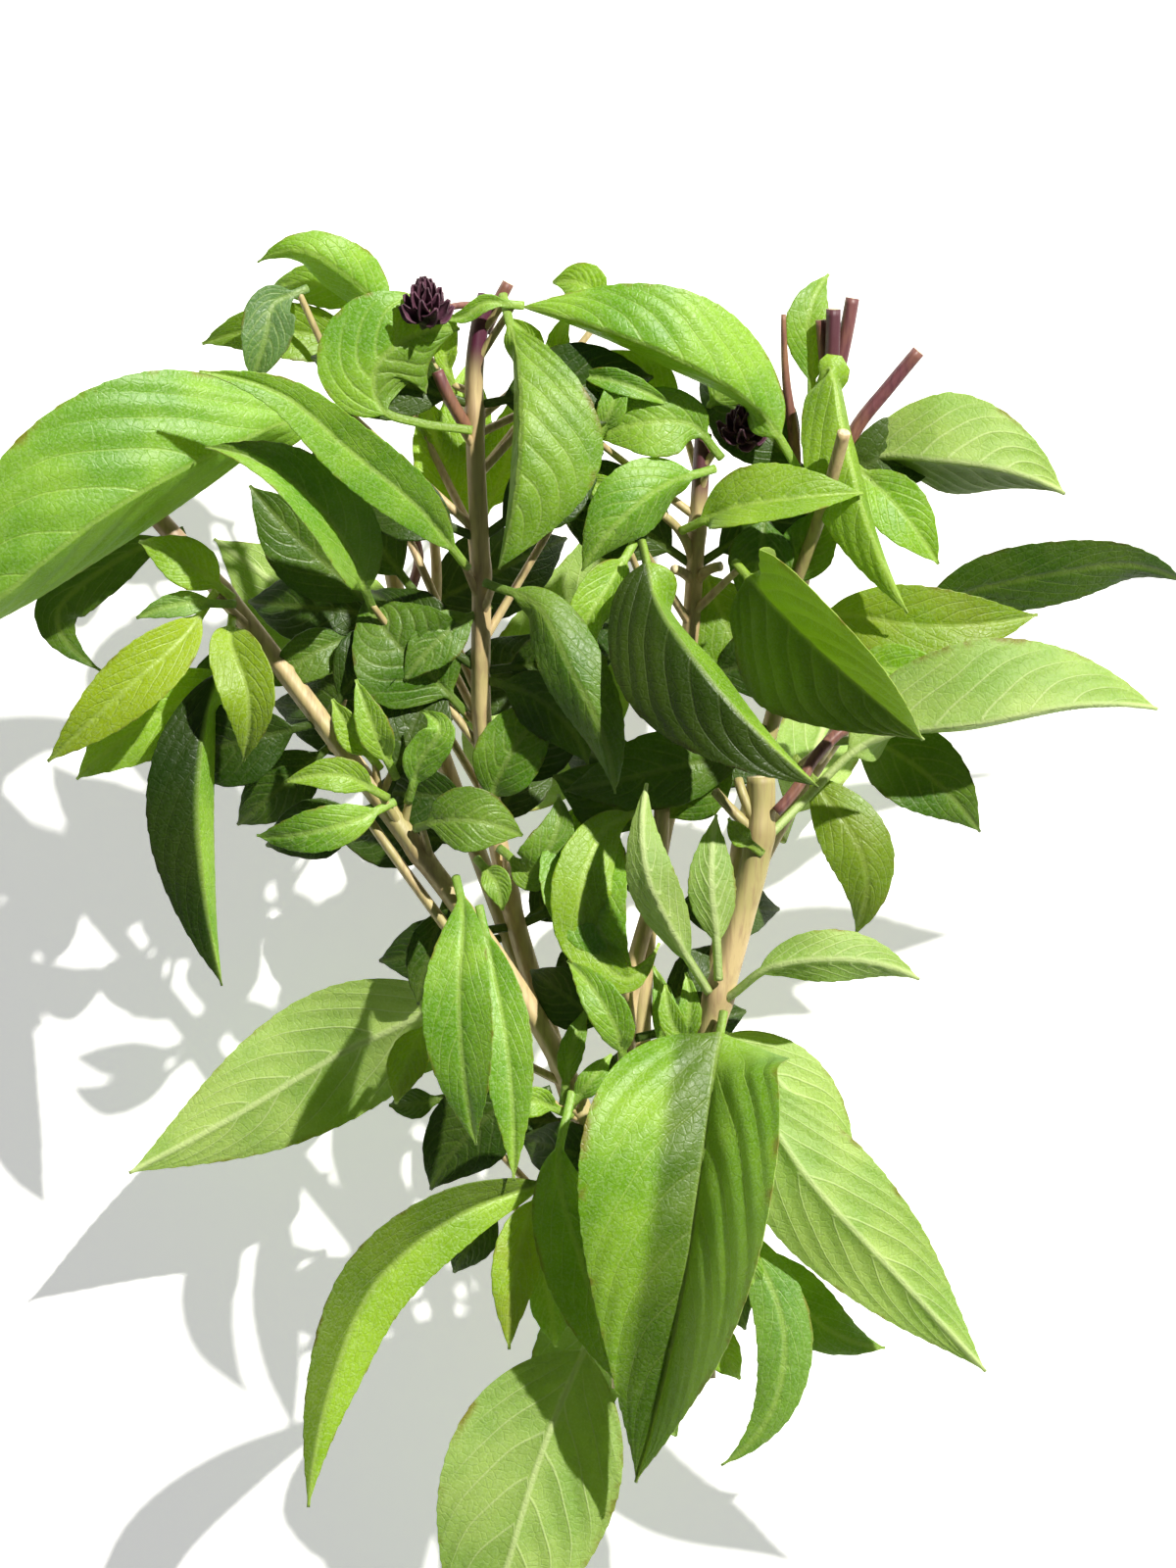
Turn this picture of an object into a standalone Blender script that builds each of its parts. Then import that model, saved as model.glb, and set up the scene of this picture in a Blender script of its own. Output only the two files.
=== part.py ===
"""A cut bunch of basil lying on a table: stems, side shoots, flower buds and leaves.

The sizes below are millimetres in a drawing frame whose zero is the neck of the bunch, where the
stems come together: +X to the right, +Y toward the leafy tops, +Z up from the table. Z = 0 is the
table. NECK moves that frame so that the part's own origin is under the middle of the bunch.
"""

from typing import NamedTuple

import bmesh
import bpy
import numpy as np

MM = 0.001

# ---- driving dimensions, in millimetres ----
NECK = (5.0, -35.6, 0.0)  # the neck of the bunch in the part's own frame
LEAF_THICKNESS = 0.6
STALK_WIDTH = 1.5  # a leaf stalk, across
TIP_WIDTH = 0.7
POINTEDNESS = 1.2  # 1 for a round-tipped blade, more for a drawn-out tip
ROW_LENGTH = 8.0  # spacing of a leaf's cross rows
WIDE_LEAF = 15.0  # from this width on, a half leaf has two strips of faces and not one
STEM_STEP = 11.0  # spacing of a stem's rings
STEM_SIDES = 2  # bevel resolution: eight sides
COLLECTION = "basil_bunch"


class Leaf(NamedTuple):
    """One leaf: its midrib from where the stalk leaves the stem to the tip, and its blade about it.

    roll is the blade's turn about the midrib in degrees, 0 with the upper side up and 180 with the
    underside up, and twist is added to it by the tip. fold is how far the left and the right half
    rise toward the upper side, seen from above the upper side and looking to the tip. cup is the
    further bend of each half by its margin. stalk is the length of the bare stalk, and widest is
    the share of the blade's length at which it is widest.
    """

    path: list
    width: float
    roll: float = 0.0
    twist: float = 0.0
    fold: tuple = (10.0, 10.0)
    cup: float = 10.0
    stalk: float = 4.0
    widest: float = 0.42


class Stem(NamedTuple):
    """One stem: its centre line from the leafy end to the cut end, and its diameters there."""

    path: list
    top: float
    foot: float


STEMS = {
    "left_stem": Stem(
        [(-73, 112, 54), (-60, 97, 53), (-47, 80, 52), (-30, 57, 51), (-16, 38, 50),
         (-5, 20, 48), (2, 2, 47), (5, -16, 46), (6, -36, 46)], 3.2, 3.8),
    "left_centre_stem": Stem(
        [(-17, 149, 58), (-19, 138, 58), (-19, 126, 57), (-18, 101, 55), (-18, 78, 50),
         (-14, 50, 43), (-6, 22, 39), (1, 0, 38), (4, -16, 38), (5, -34, 38)], 3.0, 3.6),
    "right_stem": Stem(
        [(29, 68, 61), (28.5, 56, 60), (25.5, 44, 59), (21.5, 29, 57), (18, 14, 53),
         (15.5, 0, 49), (15, -16, 47), (15, -38, 46)], 4.6, 5.0),
    "purple_stem": Stem(
        [(19.5, 126, 52), (18.5, 110, 50), (17, 88, 46), (14, 66, 42), (10, 40, 39),
         (9, 15, 38), (9.5, -6, 38), (10, -35, 38)], 2.8, 3.4),
    "centre_stem": Stem(
        [(12.5, 63, 52), (11.5, 50, 51), (7.5, 34, 50), (6.5, 18, 49), (8, 2, 47),
         (10, -14, 46), (10.5, -37, 46)], 2.6, 3.4),
    "right_stub_stem": Stem(
        [(41.5, 147, 52), (41, 134, 50), (38, 112, 46), (34, 88, 40), (28, 64, 38),
         (22, 36, 38), (16, 10, 37), (15, -10, 37.5), (15, -36, 38)], 2.4, 3.6),
    "far_right_stem": Stem(
        [(52, 95, 36), (47, 82, 33), (38, 68, 30), (29, 52, 29), (23, 30, 30), (21, 8, 33),
         (20, -12, 36), (20, -35, 38)], 2.8, 3.6),
    "back_stem": Stem(
        [(-34, 104, 24), (-28, 80, 24), (-18, 52, 25), (-8, 26, 27), (2, 2, 29),
         (8, -16, 30), (10, -34, 30)], 2.8, 3.6),
    "brown_branch": Stem(
        [(31.5, 62, 62.5), (35, 66, 62), (38, 71, 61), (43, 76, 59)], 1.8, 2.0),
    "pink_spike": Stem(
        [(33, 146, 54), (33.5, 135, 52), (35, 124, 49), (34.5, 112, 45)], 0.8, 2.6),
    "brown_stub": Stem(
        [(56, 140, 50), (51, 134, 49), (45.5, 127, 48), (42.5, 120, 47)], 2.2, 2.4),
}

BUDS = {  # centre, size across, size along Z, length along Y
    "left_flower_bud": ((-27.3, 148.3, 68), (7.0, 9.0, 7.0)),
    "right_flower_bud": ((26.0, 126.5, 50), (8.0, 6.5, 6.0)),
}

LEAVES = {
    # ---- upper left ----
    "big_left_leaf": Leaf(
        [(-40, 129, 60), (-47, 128, 64), (-62, 121.5, 73), (-80, 111, 78), (-98, 97, 75),
         (-112, 87, 65)], 38, 0, 0, (-72, 4), -8, 6, 0.45),
    "top_left_leaf": Leaf(
        [(-31, 146, 47), (-37, 149.5, 50), (-41.5, 153, 53), (-47, 156.4, 54), (-56, 155, 50)], 11.5,
        0, 0, (-50, -8), -10, 4, 0.3),
    "left_pointed_leaf": Leaf(
        [(-34, 138.5, 42), (-41, 141.5, 43), (-53, 144, 44), (-66, 142, 38)], 10, 0, 0, (15, 15),
        5, 4),
    "round_leaf": Leaf(
        [(-21.2, 126.3, 61), (-28, 127.2, 62), (-34.5, 129.5, 63), (-35.5, 136, 65),
         (-30, 141.3, 65), (-21.5, 143, 61)], 21, 0, 0, (2, -26), -5, 13, 0.42),
    "left_diagonal_leaf": Leaf(
        [(-21, 104, 60), (-27.5, 112, 70), (-39, 121.5, 80), (-51, 131, 86), (-63.8, 134.3, 88)],
        10, 0, 0, (14, 14), 5, 3),
    "arched_leaf": Leaf(
        [(-36.5, 97, 57), (-40.3, 106.4, 67), (-45.5, 113.3, 74), (-52.5, 119, 78),
         (-63.3, 122.5, 78)], 14.5, 0, 0, (62, 2), -5, 3),
    "left_yellow_leaf": Leaf(
        [(-63.5, 98, 56), (-67, 92.5, 60), (-77, 83, 63), (-91, 70.5, 57)], 11, 0, 0, (16, 16), 5,
        4),
    "left_small_bright_leaf": Leaf(
        [(-60, 94.5, 56), (-60, 91, 61), (-57, 82, 64), (-58, 70.5, 58)], 10, 0, 0, (16, 16), 5, 2),
    "left_green_leaf": Leaf(
        [(-57, 88, 47), (-63, 84, 49), (-75, 77, 50), (-87, 67.5, 45)], 13, 0, 0, (12, 5), 0, 5),
    "left_hanging_leaf": Leaf(
        [(-60.5, 90, 54), (-63.5, 81, 57), (-65.5, 66, 59), (-64.8, 50, 56), (-61.9, 32.5, 50)],
        17, 0, 0, (-72, -6), -5, 5),
    # ---- upper middle ----
    "centre_top_leaf": Leaf(
        [(-14, 147.5, 61), (-12.5, 141, 66), (-11.5, 122, 73), (-15, 102.5, 68)], 28, 0, 0,
        (-8, -82), -8, 5, 0.5),
    "top_arch_leaf": Leaf(
        [(36, 119, 53), (30, 128, 58), (14, 138, 65), (0, 143.5, 64), (-11.5, 147, 58)], 25, 0, 0,
        (-82, -12), -8, 8),
    "centre_pale_leaf": Leaf(
        [(20, 119.5, 54), (14, 117.5, 58), (6, 111.5, 61), (-1, 102.5, 57)], 14, 0, 0,
        (-45, -5), -8, 3),
    "right_centre_leaf": Leaf(
        [(17, 110, 54), (24, 113, 60), (35, 114.5, 64), (46.2, 115.5, 62)], 13, 0, 0, (-6, 58), 0,
        3),
    "right_folded_leaf": Leaf(
        [(38, 131, 52), (40.5, 136.6, 57), (43.2, 125, 61), (46.5, 112, 61), (54, 95.5, 55)], 18,
        0, 0, (-78, -28), -5, 5),
    "right_top_leaf": Leaf(
        [(43, 119.5, 44), (48, 121.8, 47), (58.5, 121.4, 54), (70, 119.7, 54), (80.8, 116, 48)], 23,
        180, 0, (62, 5), 5, 5),
    "far_right_leaf": Leaf(
        [(53, 91, 38), (60, 97, 43), (80, 102.5, 48), (92, 104, 46), (102, 101, 40)], 12.5, -35, 0,
        (-10, -5), 0, 6),
    "right_bronze_leaf": Leaf(
        [(37, 96, 44), (43, 95.5, 47), (58, 93.5, 50), (76.5, 95.5, 45)], 13, 0, 0, (12, 8), 0,
        4),
    "bright_folded_leaf": Leaf(
        [(25.5, 103, 60), (30.3, 97.3, 66), (39.7, 87.8, 72), (47.5, 81, 71), (56, 74, 67)], 30, 0,
        0, (70, -24), -5, 3, 0.36),
    "centre_folded_leaf": Leaf(
        [(9.3, 106, 64), (11.2, 98, 70), (17.2, 88.1, 78), (25, 78.5, 80), (38.3, 66.2, 76)], 27, 0,
        0, (-76, -14), -5, 3, 0.38),
    "centre_dark_leaf": Leaf(
        [(29, 71.5, 52), (20, 70.5, 54), (6, 67.5, 55), (-4, 65.5, 51)], 13, 0, 0, (0, 0), -5, 3),
    "centre_hanging_leaf": Leaf(
        [(-16, 100, 60), (-9, 97, 65), (-3, 86, 68), (2, 76, 67), (4.5, 65, 60)], 12.5, 0, 0,
        (-15, -40), -5, 4),
    "left_centre_round_leaf": Leaf(
        [(-21, 79, 49), (-25.5, 84, 52), (-32, 90, 56), (-38, 98, 51)], 19, 0, 0, (4, 4), 5, 4),
    # ---- middle left ----
    "left_low_leaf": Leaf(
        [(-34, 63, 55), (-38, 61, 58), (-47, 58.5, 59), (-56, 58, 53)], 7.5, 0, 0, (-15, 10), 0, 2),
    "left_hanging_front_leaf": Leaf(
        [(-22, 50, 56), (-21, 46, 62), (-21.5, 30, 67), (-18.8, 6, 59)], 12, 0, 0, (20, -8), 0, 3,
        0.5),
    "left_hanging_back_leaf": Leaf(
        [(-18, 44.5, 54), (-16.5, 38, 57), (-13.5, 22, 61), (-12.5, 0, 59)], 9, 0, 0, (10, 10), 0,
        3),
    "lower_left_leaf": Leaf(
        [(-17, 34, 45), (-27, 28, 40), (-44, 19.5, 33), (-60, 10, 31), (-79, -0.3, 30)], 23, 180,
        0, (12, 12), 5, 8, 0.4),
    # ---- middle right ----
    "pale_upright_leaf": Leaf(
        [(19.5, 33, 61), (14.7, 41, 67), (9.8, 52, 72), (9.8, 66.7, 66)], 9, 180, 0, (10, 35), 5,
        6),
    "second_upright_leaf": Leaf(
        [(21.8, 35.5, 62), (21.5, 41, 64), (20.6, 51, 66), (21.5, 61.5, 63)], 8, 180, 0, (10, 10),
        5, 5),
    "right_small_leaf": Leaf(
        [(24.5, 31.5, 60), (30, 35.8, 65), (42, 37.5, 67), (55.5, 34, 60)], 9.5, 180, 0, (35, 5), 0,
        7),
    "right_long_leaf": Leaf(
        [(31.5, 59, 57), (37, 64.5, 55), (46, 73, 56), (66, 77, 60), (84, 80, 56),
         (96.5, 79.5, 48)], 28, 180, 0, (84, 4), 5, 18),
    "right_dark_leaf": Leaf(
        [(42, 74, 36), (48, 74, 41), (58, 68, 45), (67, 58.5, 40)], 14, 0, 0, (5, 5), 0, 4),
    "right_hanging_leaf": Leaf(
        [(36, 70, 49), (40, 65, 51), (46.3, 55, 52), (45.5, 41, 43)], 11.5, 0, 0, (-10, -10), 0,
        3),
    "centre_inner_leaf": Leaf(
        [(2, 66, 46), (0, 60, 50), (0, 47, 56), (8, 34, 57)], 15, 0, 0, (12, 8), 0, 3),
    # ---- bottom ----
    "big_front_leaf": Leaf(
        [(22.5, 27, 62), (21.7, 22.5, 65), (19, 4, 71), (16.5, -14, 71), (13, -32, 65),
         (8, -51, 56)], 40, 0, 0, (56, 6), -5, 3, 0.28),
    "right_lower_back_leaf": Leaf(
        [(20, 26, 49), (25, 23, 51), (36, 12, 52), (45, -2, 46)], 15, 180, 0, (5, 5), 5, 4),
    "right_lower_leaf": Leaf(
        [(20, 21, 60), (28.5, 12.5, 60), (37, 0.5, 61), (51, -15, 57), (67.5, -33, 46)], 21.5, 180,
        0, (20, 8), 5, 8, 0.36),
    "grey_green_leaf": Leaf(
        [(21, -5, 49), (26, -10, 51), (33, -25, 52), (31, -40, 48), (22.7, -49.5, 42)], 9.5, 0, 0,
        (-10, -10), 0, 4),
    "centre_lower_leaf": Leaf(
        [(-3, 13, 52), (-5, 3, 56), (-1, -14, 59), (7, -36.5, 53)], 13, 0, 0, (-10, 12), 0, 8),
    "lower_left_curved_leaf": Leaf(
        [(-2, 0.5, 50.5), (-10, -1.5, 54), (-22, -6, 58), (-35.5, -17, 60), (-43, -34, 60),
         (-47, -55, 58)], 13, 0, 0, (-14, 28), 0, 6),
    "bottom_leaf": Leaf(
        [(3, -22, 51.5), (-1, -30, 51.5), (-8, -47, 50), (-14, -67, 47), (-20, -88, 38)], 30, 180, 0,
        (4, 4), 5, 8, 0.38),
    # ---- on the table, under the bunch ----
    "under_middle_leaf": Leaf(
        [(-22.5, 60, 23), (-16, 66, 12), (-8, 80, 0), (0, 100, 0), (4, 116, 0)], 27, 180, 0,
        (4, 4), 0, 8),
    "under_left_leaf": Leaf(
        [(-32, 84, 22), (-38, 88, 12), (-50, 98, 0), (-66, 110, 0)], 24, 180, 0, (4, 4), 0, 6),
    "under_right_leaf": Leaf(
        [(34, 58, 24), (38, 68, 12), (46, 84, 0), (60, 95, 0)], 15, 180, 0, (4, 4), 0, 6),
    "under_low_left_leaf": Leaf(
        [(-8, 29.5, 23), (-16, 30, 10), (-34, 22, 0), (-54, 14, 0)], 16, 180, 0, (4, 4), 0, 6),
    "under_low_right_leaf": Leaf(
        [(23, 14, 28), (27, 8, 12), (38, -2, 0), (52, -16, 0)], 14, 180, 0, (4, 4), 0, 6),
    "under_bottom_leaf": Leaf(
        [(8, -13, 26), (5, -22, 12), (-3, -40, 0), (-12, -62, 0)], 18, 180, 0, (4, 4), 0, 6),
}

# ---- colours as linear RGB, then roughness ----
LEAF_COLOUR = ((0.10, 0.24, 0.03, 1.0), 0.45)
STEM_COLOUR = ((0.35, 0.29, 0.13, 1.0), 0.60)
BUD_COLOUR = ((0.06, 0.02, 0.03, 1.0), 0.70)


def clear_scene():
    """Remove every object of the open scene."""
    for item in list(bpy.data.objects):
        bpy.data.objects.remove(item, do_unlink=True)


def make_collection():
    """Add the collection that holds the parts."""
    collection = bpy.data.collections.new(COLLECTION)
    bpy.context.scene.collection.children.link(collection)
    return collection


def make_material(name, finish):
    """Add a Principled material with the given colour and roughness."""
    colour, roughness = finish
    material = bpy.data.materials.new(name)
    material.use_nodes = True
    shader = material.node_tree.nodes["Principled BSDF"]
    shader.inputs["Base Color"].default_value = colour
    shader.inputs["Roughness"].default_value = roughness
    shader.inputs["Metallic"].default_value = 0.0
    material.diffuse_color = colour
    return material


def smooth_line(points, shares):
    """Points on a smooth curve through the given ones, at shares of its length from 0 to 1.

    Between two neighbours it is a cubic Hermite curve, whose slopes are finite differences.
    """
    points = np.array(points, dtype=float)
    knots = np.concatenate([[0.0], np.cumsum(np.linalg.norm(np.diff(points, axis=0), axis=1))])
    slopes = np.gradient(points, knots, axis=0, edge_order=2)
    places = np.asarray(shares) * knots[-1]
    left = np.clip(np.searchsorted(knots, places, side="right") - 1, 0, len(points) - 2)
    gap = (knots[left + 1] - knots[left])[:, None]
    t = (places - knots[left])[:, None] / gap
    start = (1 + 2 * t) * (1 - t) ** 2 * points[left] + t * (1 - t) ** 2 * gap * slopes[left]
    end = t**2 * (3 - 2 * t) * points[left + 1] - t**2 * (1 - t) * gap * slopes[left + 1]
    return start + end


def line_length(points):
    """Length of the straight runs between the points."""
    return float(np.linalg.norm(np.diff(np.array(points, dtype=float), axis=0), axis=1).sum())


def unit(vectors):
    """The vectors at length 1."""
    return vectors / np.linalg.norm(vectors, axis=-1, keepdims=True)


def blade_outline(leaf, shares, length):
    """Half widths along a leaf: the bare stalk, then an egg-shaped blade that ends in a point."""
    blade = np.clip((shares * length - leaf.stalk) / (length - leaf.stalk), 0, 1)
    rise = POINTEDNESS * leaf.widest / (1 - leaf.widest)
    shape = blade**rise * (1 - blade) ** POINTEDNESS
    peak = leaf.widest**rise * (1 - leaf.widest) ** POINTEDNESS
    rim = STALK_WIDTH + (TIP_WIDTH - STALK_WIDTH) * blade
    return np.maximum(leaf.width * shape / peak, rim) / 2, blade


def blade_surface(leaf, rows, columns):
    """The middle surface of a leaf as (rows + 1) by (columns + 1) points in the drawing frame.

    Each row crosses the midrib squarely. Its two halves leave the midrib at the fold angles, and
    bend on by the cup angle toward their margins.
    """
    shares = np.linspace(0, 1, rows + 1)
    spine = smooth_line(leaf.path, shares)
    half, blade = blade_outline(leaf, shares, line_length(leaf.path))
    forward = unit(np.gradient(spine, axis=0))
    upward = unit(np.array([0.0, 0.0, 1.0]) - forward[:, 2:3] * forward)
    side = np.cross(forward, upward)
    turn = np.radians(leaf.roll + leaf.twist * blade)[:, None]
    right = np.cos(turn) * side + np.sin(turn) * upward
    face = np.cos(turn) * upward - np.sin(turn) * side
    across = np.linspace(-1, 1, columns + 1)
    fold = np.where(across < 0, leaf.fold[0], leaf.fold[1])
    angle = np.radians(fold + leaf.cup * np.abs(across) / 2)
    reach = half[:, None] * np.abs(across)
    along_right = (np.sign(across) * np.cos(angle) * reach)[:, :, None] * right[:, None, :]
    along_face = (np.sin(angle) * reach)[:, :, None] * face[:, None, :]
    surface = spine[:, None, :] + along_right + along_face
    surface[:, :, 2] = np.maximum(surface[:, :, 2], LEAF_THICKNESS / 2)
    return surface


def make_leaf(name, leaf, collection, material):
    """Add a leaf: a grid bent to the blade's surface, with Solidify for its thickness."""
    rows = int(np.clip(round(line_length(leaf.path) / ROW_LENGTH), 5, 9))
    columns = 4 if leaf.width >= WIDE_LEAF else 2
    surface = blade_surface(leaf, rows, columns) + np.array(NECK)
    mesh = bpy.data.meshes.new(name)
    sheet = bmesh.new()
    bmesh.ops.create_grid(sheet, x_segments=columns, y_segments=rows, size=0.5)
    for vertex in sheet.verts:
        row = round((vertex.co.y + 0.5) * rows)
        column = round((vertex.co.x + 0.5) * columns)
        vertex.co = surface[row, column] * MM
    bmesh.ops.triangulate(sheet, faces=sheet.faces[:])
    sheet.to_mesh(mesh)
    sheet.free()
    leaf_object = bpy.data.objects.new(name, mesh)
    wall = leaf_object.modifiers.new("leaf_thickness", "SOLIDIFY")
    wall.thickness = LEAF_THICKNESS * MM
    wall.offset = 0.0
    mesh.materials.append(material)
    mesh.shade_smooth()
    collection.objects.link(leaf_object)


def make_stem(name, stem, collection, material):
    """Add a stem: a round bevelled curve with filled ends, tapering from its foot to its top."""
    steps = max(3, round(line_length(stem.path) / STEM_STEP))
    shares = np.linspace(0, 1, steps + 1)
    line = (smooth_line(stem.path, shares) + np.array(NECK)) * MM
    curve = bpy.data.curves.new(name, "CURVE")
    curve.dimensions = "3D"
    curve.bevel_depth = stem.foot * MM / 2
    curve.bevel_resolution = STEM_SIDES
    curve.use_fill_caps = True
    spline = curve.splines.new("POLY")
    spline.points.add(steps)
    for point, place, share in zip(spline.points, line, shares):
        point.co = (*place, 1.0)
        point.radius = (stem.top + (stem.foot - stem.top) * share) / stem.foot
    curve.materials.append(material)
    collection.objects.link(bpy.data.objects.new(name, curve))


def make_bud(name, centre, sizes, collection, material):
    """Add a flower bud as the round envelope of its bracts."""
    mesh = bpy.data.meshes.new(name)
    ball = bmesh.new()
    bmesh.ops.create_uvsphere(ball, u_segments=10, v_segments=7, radius=0.5)
    bmesh.ops.scale(ball, vec=[size * MM for size in sizes], verts=ball.verts)
    bmesh.ops.translate(ball, vec=(np.array(centre) + np.array(NECK)) * MM, verts=ball.verts)
    ball.to_mesh(mesh)
    ball.free()
    mesh.materials.append(material)
    mesh.shade_smooth()
    collection.objects.link(bpy.data.objects.new(name, mesh))


def main():
    """Build the whole bunch."""
    clear_scene()
    collection = make_collection()
    for name, stem in STEMS.items():
        make_stem(name, stem, collection, make_material(name + "_skin", STEM_COLOUR))
    for name, (centre, sizes) in BUDS.items():
        make_bud(name, centre, sizes, collection, make_material(name + "_bracts", BUD_COLOUR))
    for name, leaf in LEAVES.items():
        make_leaf(name, leaf, collection, make_material(name + "_blade", LEAF_COLOUR))
    print(f"{COLLECTION}: {len(collection.objects)} pieces")


main()
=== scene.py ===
# %% [markdown]
# # A bunch of fresh Thai basil
# The real thing is a loose handful of cut stems with their leaves, lying on a table. This lesson
# makes it from surfaces: every leaf, stem and bract is worked out as a whole array of points with
# numpy and then handed to a mesh. The solids made in the construction step are loaded first. They
# say where each piece is, and each leaf, stem, shoot and bud head made here takes the place of one
# of them.

from typing import NamedTuple

import bpy
import numpy as np
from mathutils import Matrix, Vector


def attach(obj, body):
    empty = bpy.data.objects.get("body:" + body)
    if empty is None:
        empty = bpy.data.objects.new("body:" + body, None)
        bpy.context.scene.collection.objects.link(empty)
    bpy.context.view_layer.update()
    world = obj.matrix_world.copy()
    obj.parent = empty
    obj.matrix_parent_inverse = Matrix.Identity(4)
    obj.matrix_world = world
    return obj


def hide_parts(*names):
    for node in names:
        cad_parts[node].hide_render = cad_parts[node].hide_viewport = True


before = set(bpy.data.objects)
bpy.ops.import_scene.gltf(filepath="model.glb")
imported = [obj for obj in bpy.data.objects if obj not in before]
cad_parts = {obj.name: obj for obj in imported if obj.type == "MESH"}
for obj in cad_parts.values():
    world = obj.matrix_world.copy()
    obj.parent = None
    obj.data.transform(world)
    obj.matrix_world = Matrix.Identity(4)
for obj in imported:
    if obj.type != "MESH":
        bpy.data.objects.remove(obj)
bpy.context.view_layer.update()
MM = 0.001

# %% [markdown]
# ## Units and the drawing frame
# The bunch is drawn in millimetres from its neck, the place where all the stems meet. That is how
# one measures a real bunch: hold it at the neck and read off how far each leaf tip is. NECK then
# puts the drawing where the solids are. Random numbers are only used for growth that has no rule,
# and they come from one seeded generator, so each run gives the same bunch.

# %% Drawing frame and random generator
NECK = np.array([5.0, -35.6, 0.0])
growth = np.random.default_rng(24)
print("neck at", NECK.tolist(), "mm")

# %% [markdown]
# ## The camera
# The bunch lies on the table, so the camera looks straight down on it with the leafy tops at the
# top of the picture. A long lens from a little over a metre keeps the leaf shapes true.

# %% Camera
VIEW_HEIGHT = 1200.0  # mm from the lens to the middle of the bunch
MIDDLE = np.array([0.0, 66.7, 45.0])  # mm, the point looked at, in the drawing frame
VIEW_LENGTH = 266.7  # mm of the bunch that the long side of the picture takes in

camera_data = bpy.data.cameras.new("camera")
camera_data.sensor_width = 36.0
camera_data.lens = camera_data.sensor_width * VIEW_HEIGHT / VIEW_LENGTH
camera_data.clip_start = 0.01
camera = bpy.data.objects.new("camera", camera_data)
camera.location = (MIDDLE + NECK + np.array([0.0, 0.0, VIEW_HEIGHT])) * MM
bpy.context.scene.collection.objects.link(camera)
bpy.context.scene.camera = camera
print("lens", round(camera_data.lens, 1), "mm, camera at", tuple(round(c, 3) for c in camera.location))

# %% [markdown]
# ## From points to a mesh
# Every piece here is a closed tube of rings: a stem is a tube of round rings, and a leaf is a tube
# of very flat ones, upper side out and underside back. One function joins the rings with quads
# and closes both ends, so each piece is watertight and its faces point outwards.

# %% Rings to a closed mesh
class Shell(NamedTuple):
    """A closed tube as arrays: points (rows, ring, 3), named values per point, and part of ring."""

    points: np.ndarray
    values: dict
    under: int  # ring places from this one on belong to the second material; 0 for none


def shell_faces(rows, ring):
    """Quads between neighbouring rings, and the strips of quads that close the first and last ring.

    Point (i, k) has the number i * ring + k. An end is closed by joining place k to place
    ring - 1 - k, which zips the ring shut like the two sides of a leaf.
    """
    number = np.arange(rows * ring).reshape(rows, ring)
    after = np.roll(number, -1, axis=1)
    sides = np.stack([number[:-1], after[:-1], after[1:], number[1:]], axis=-1).reshape(-1, 4)
    k = np.arange(ring // 2 - 1)
    zip_up = np.stack([k, ring - 1 - k, ring - 2 - k, k + 1], axis=-1)
    first = number[0][zip_up]
    last = number[-1][zip_up][:, ::-1]
    return sides, np.concatenate([first, last])


def add_mesh(name, shells, materials, body="root"):
    """One object from one or more shells, with its values as attributes, riding on a body."""
    points, faces, slots, values, start = [], [], [], {}, 0
    for shell in shells:
        rows, ring = shell.points.shape[:2]
        sides, ends = shell_faces(rows, ring)
        place = np.tile(np.arange(ring), rows - 1)
        side_slot = ((place >= shell.under) & (shell.under > 0)).astype(int)
        end_slot = np.full(len(ends), len(materials) - 1)
        points.append(shell.points.reshape(-1, 3))
        faces.append(np.concatenate([sides, ends]) + start)
        slots.append(np.concatenate([side_slot, end_slot]))
        for key, value in shell.values.items():
            values.setdefault(key, []).append(np.broadcast_to(value, (rows, ring)).reshape(-1))
        start += rows * ring
    points = (np.concatenate(points) + NECK) * MM
    faces, slots = np.concatenate(faces), np.concatenate(slots)
    mesh = bpy.data.meshes.new(name)
    mesh.from_pydata(points.tolist(), [], faces.tolist())
    mesh.polygons.foreach_set("material_index", slots)
    mesh.polygons.foreach_set("use_smooth", np.ones(len(faces), dtype=bool))
    for key, value in values.items():
        layer = mesh.attributes.new(key, "FLOAT", "POINT")
        layer.data.foreach_set("value", np.concatenate(value).astype(np.float32))
    for material in materials:
        mesh.materials.append(material)
    mesh.update()
    piece = bpy.data.objects.new(name, mesh)
    bpy.context.scene.collection.objects.link(piece)
    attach(piece, body)
    return piece


print("a square ring of 4 and 2 rows has", sum(len(f) for f in shell_faces(2, 4)), "faces")

# %% [markdown]
# ## Smooth lines
# A midrib or a stem is drawn with a few points. Between them it has to bend smoothly, as living
# tissue does, so a cubic Hermite curve joins each pair of neighbours, with slopes taken from the
# points on either side.

# %% Smooth line through a few points
def unit(vectors):
    """The vectors divided by their lengths."""
    return vectors / np.linalg.norm(vectors, axis=-1, keepdims=True)


def line_length(points):
    """The summed length of the straight runs between the points."""
    return float(np.linalg.norm(np.diff(np.array(points, dtype=float), axis=0), axis=1).sum())


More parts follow.
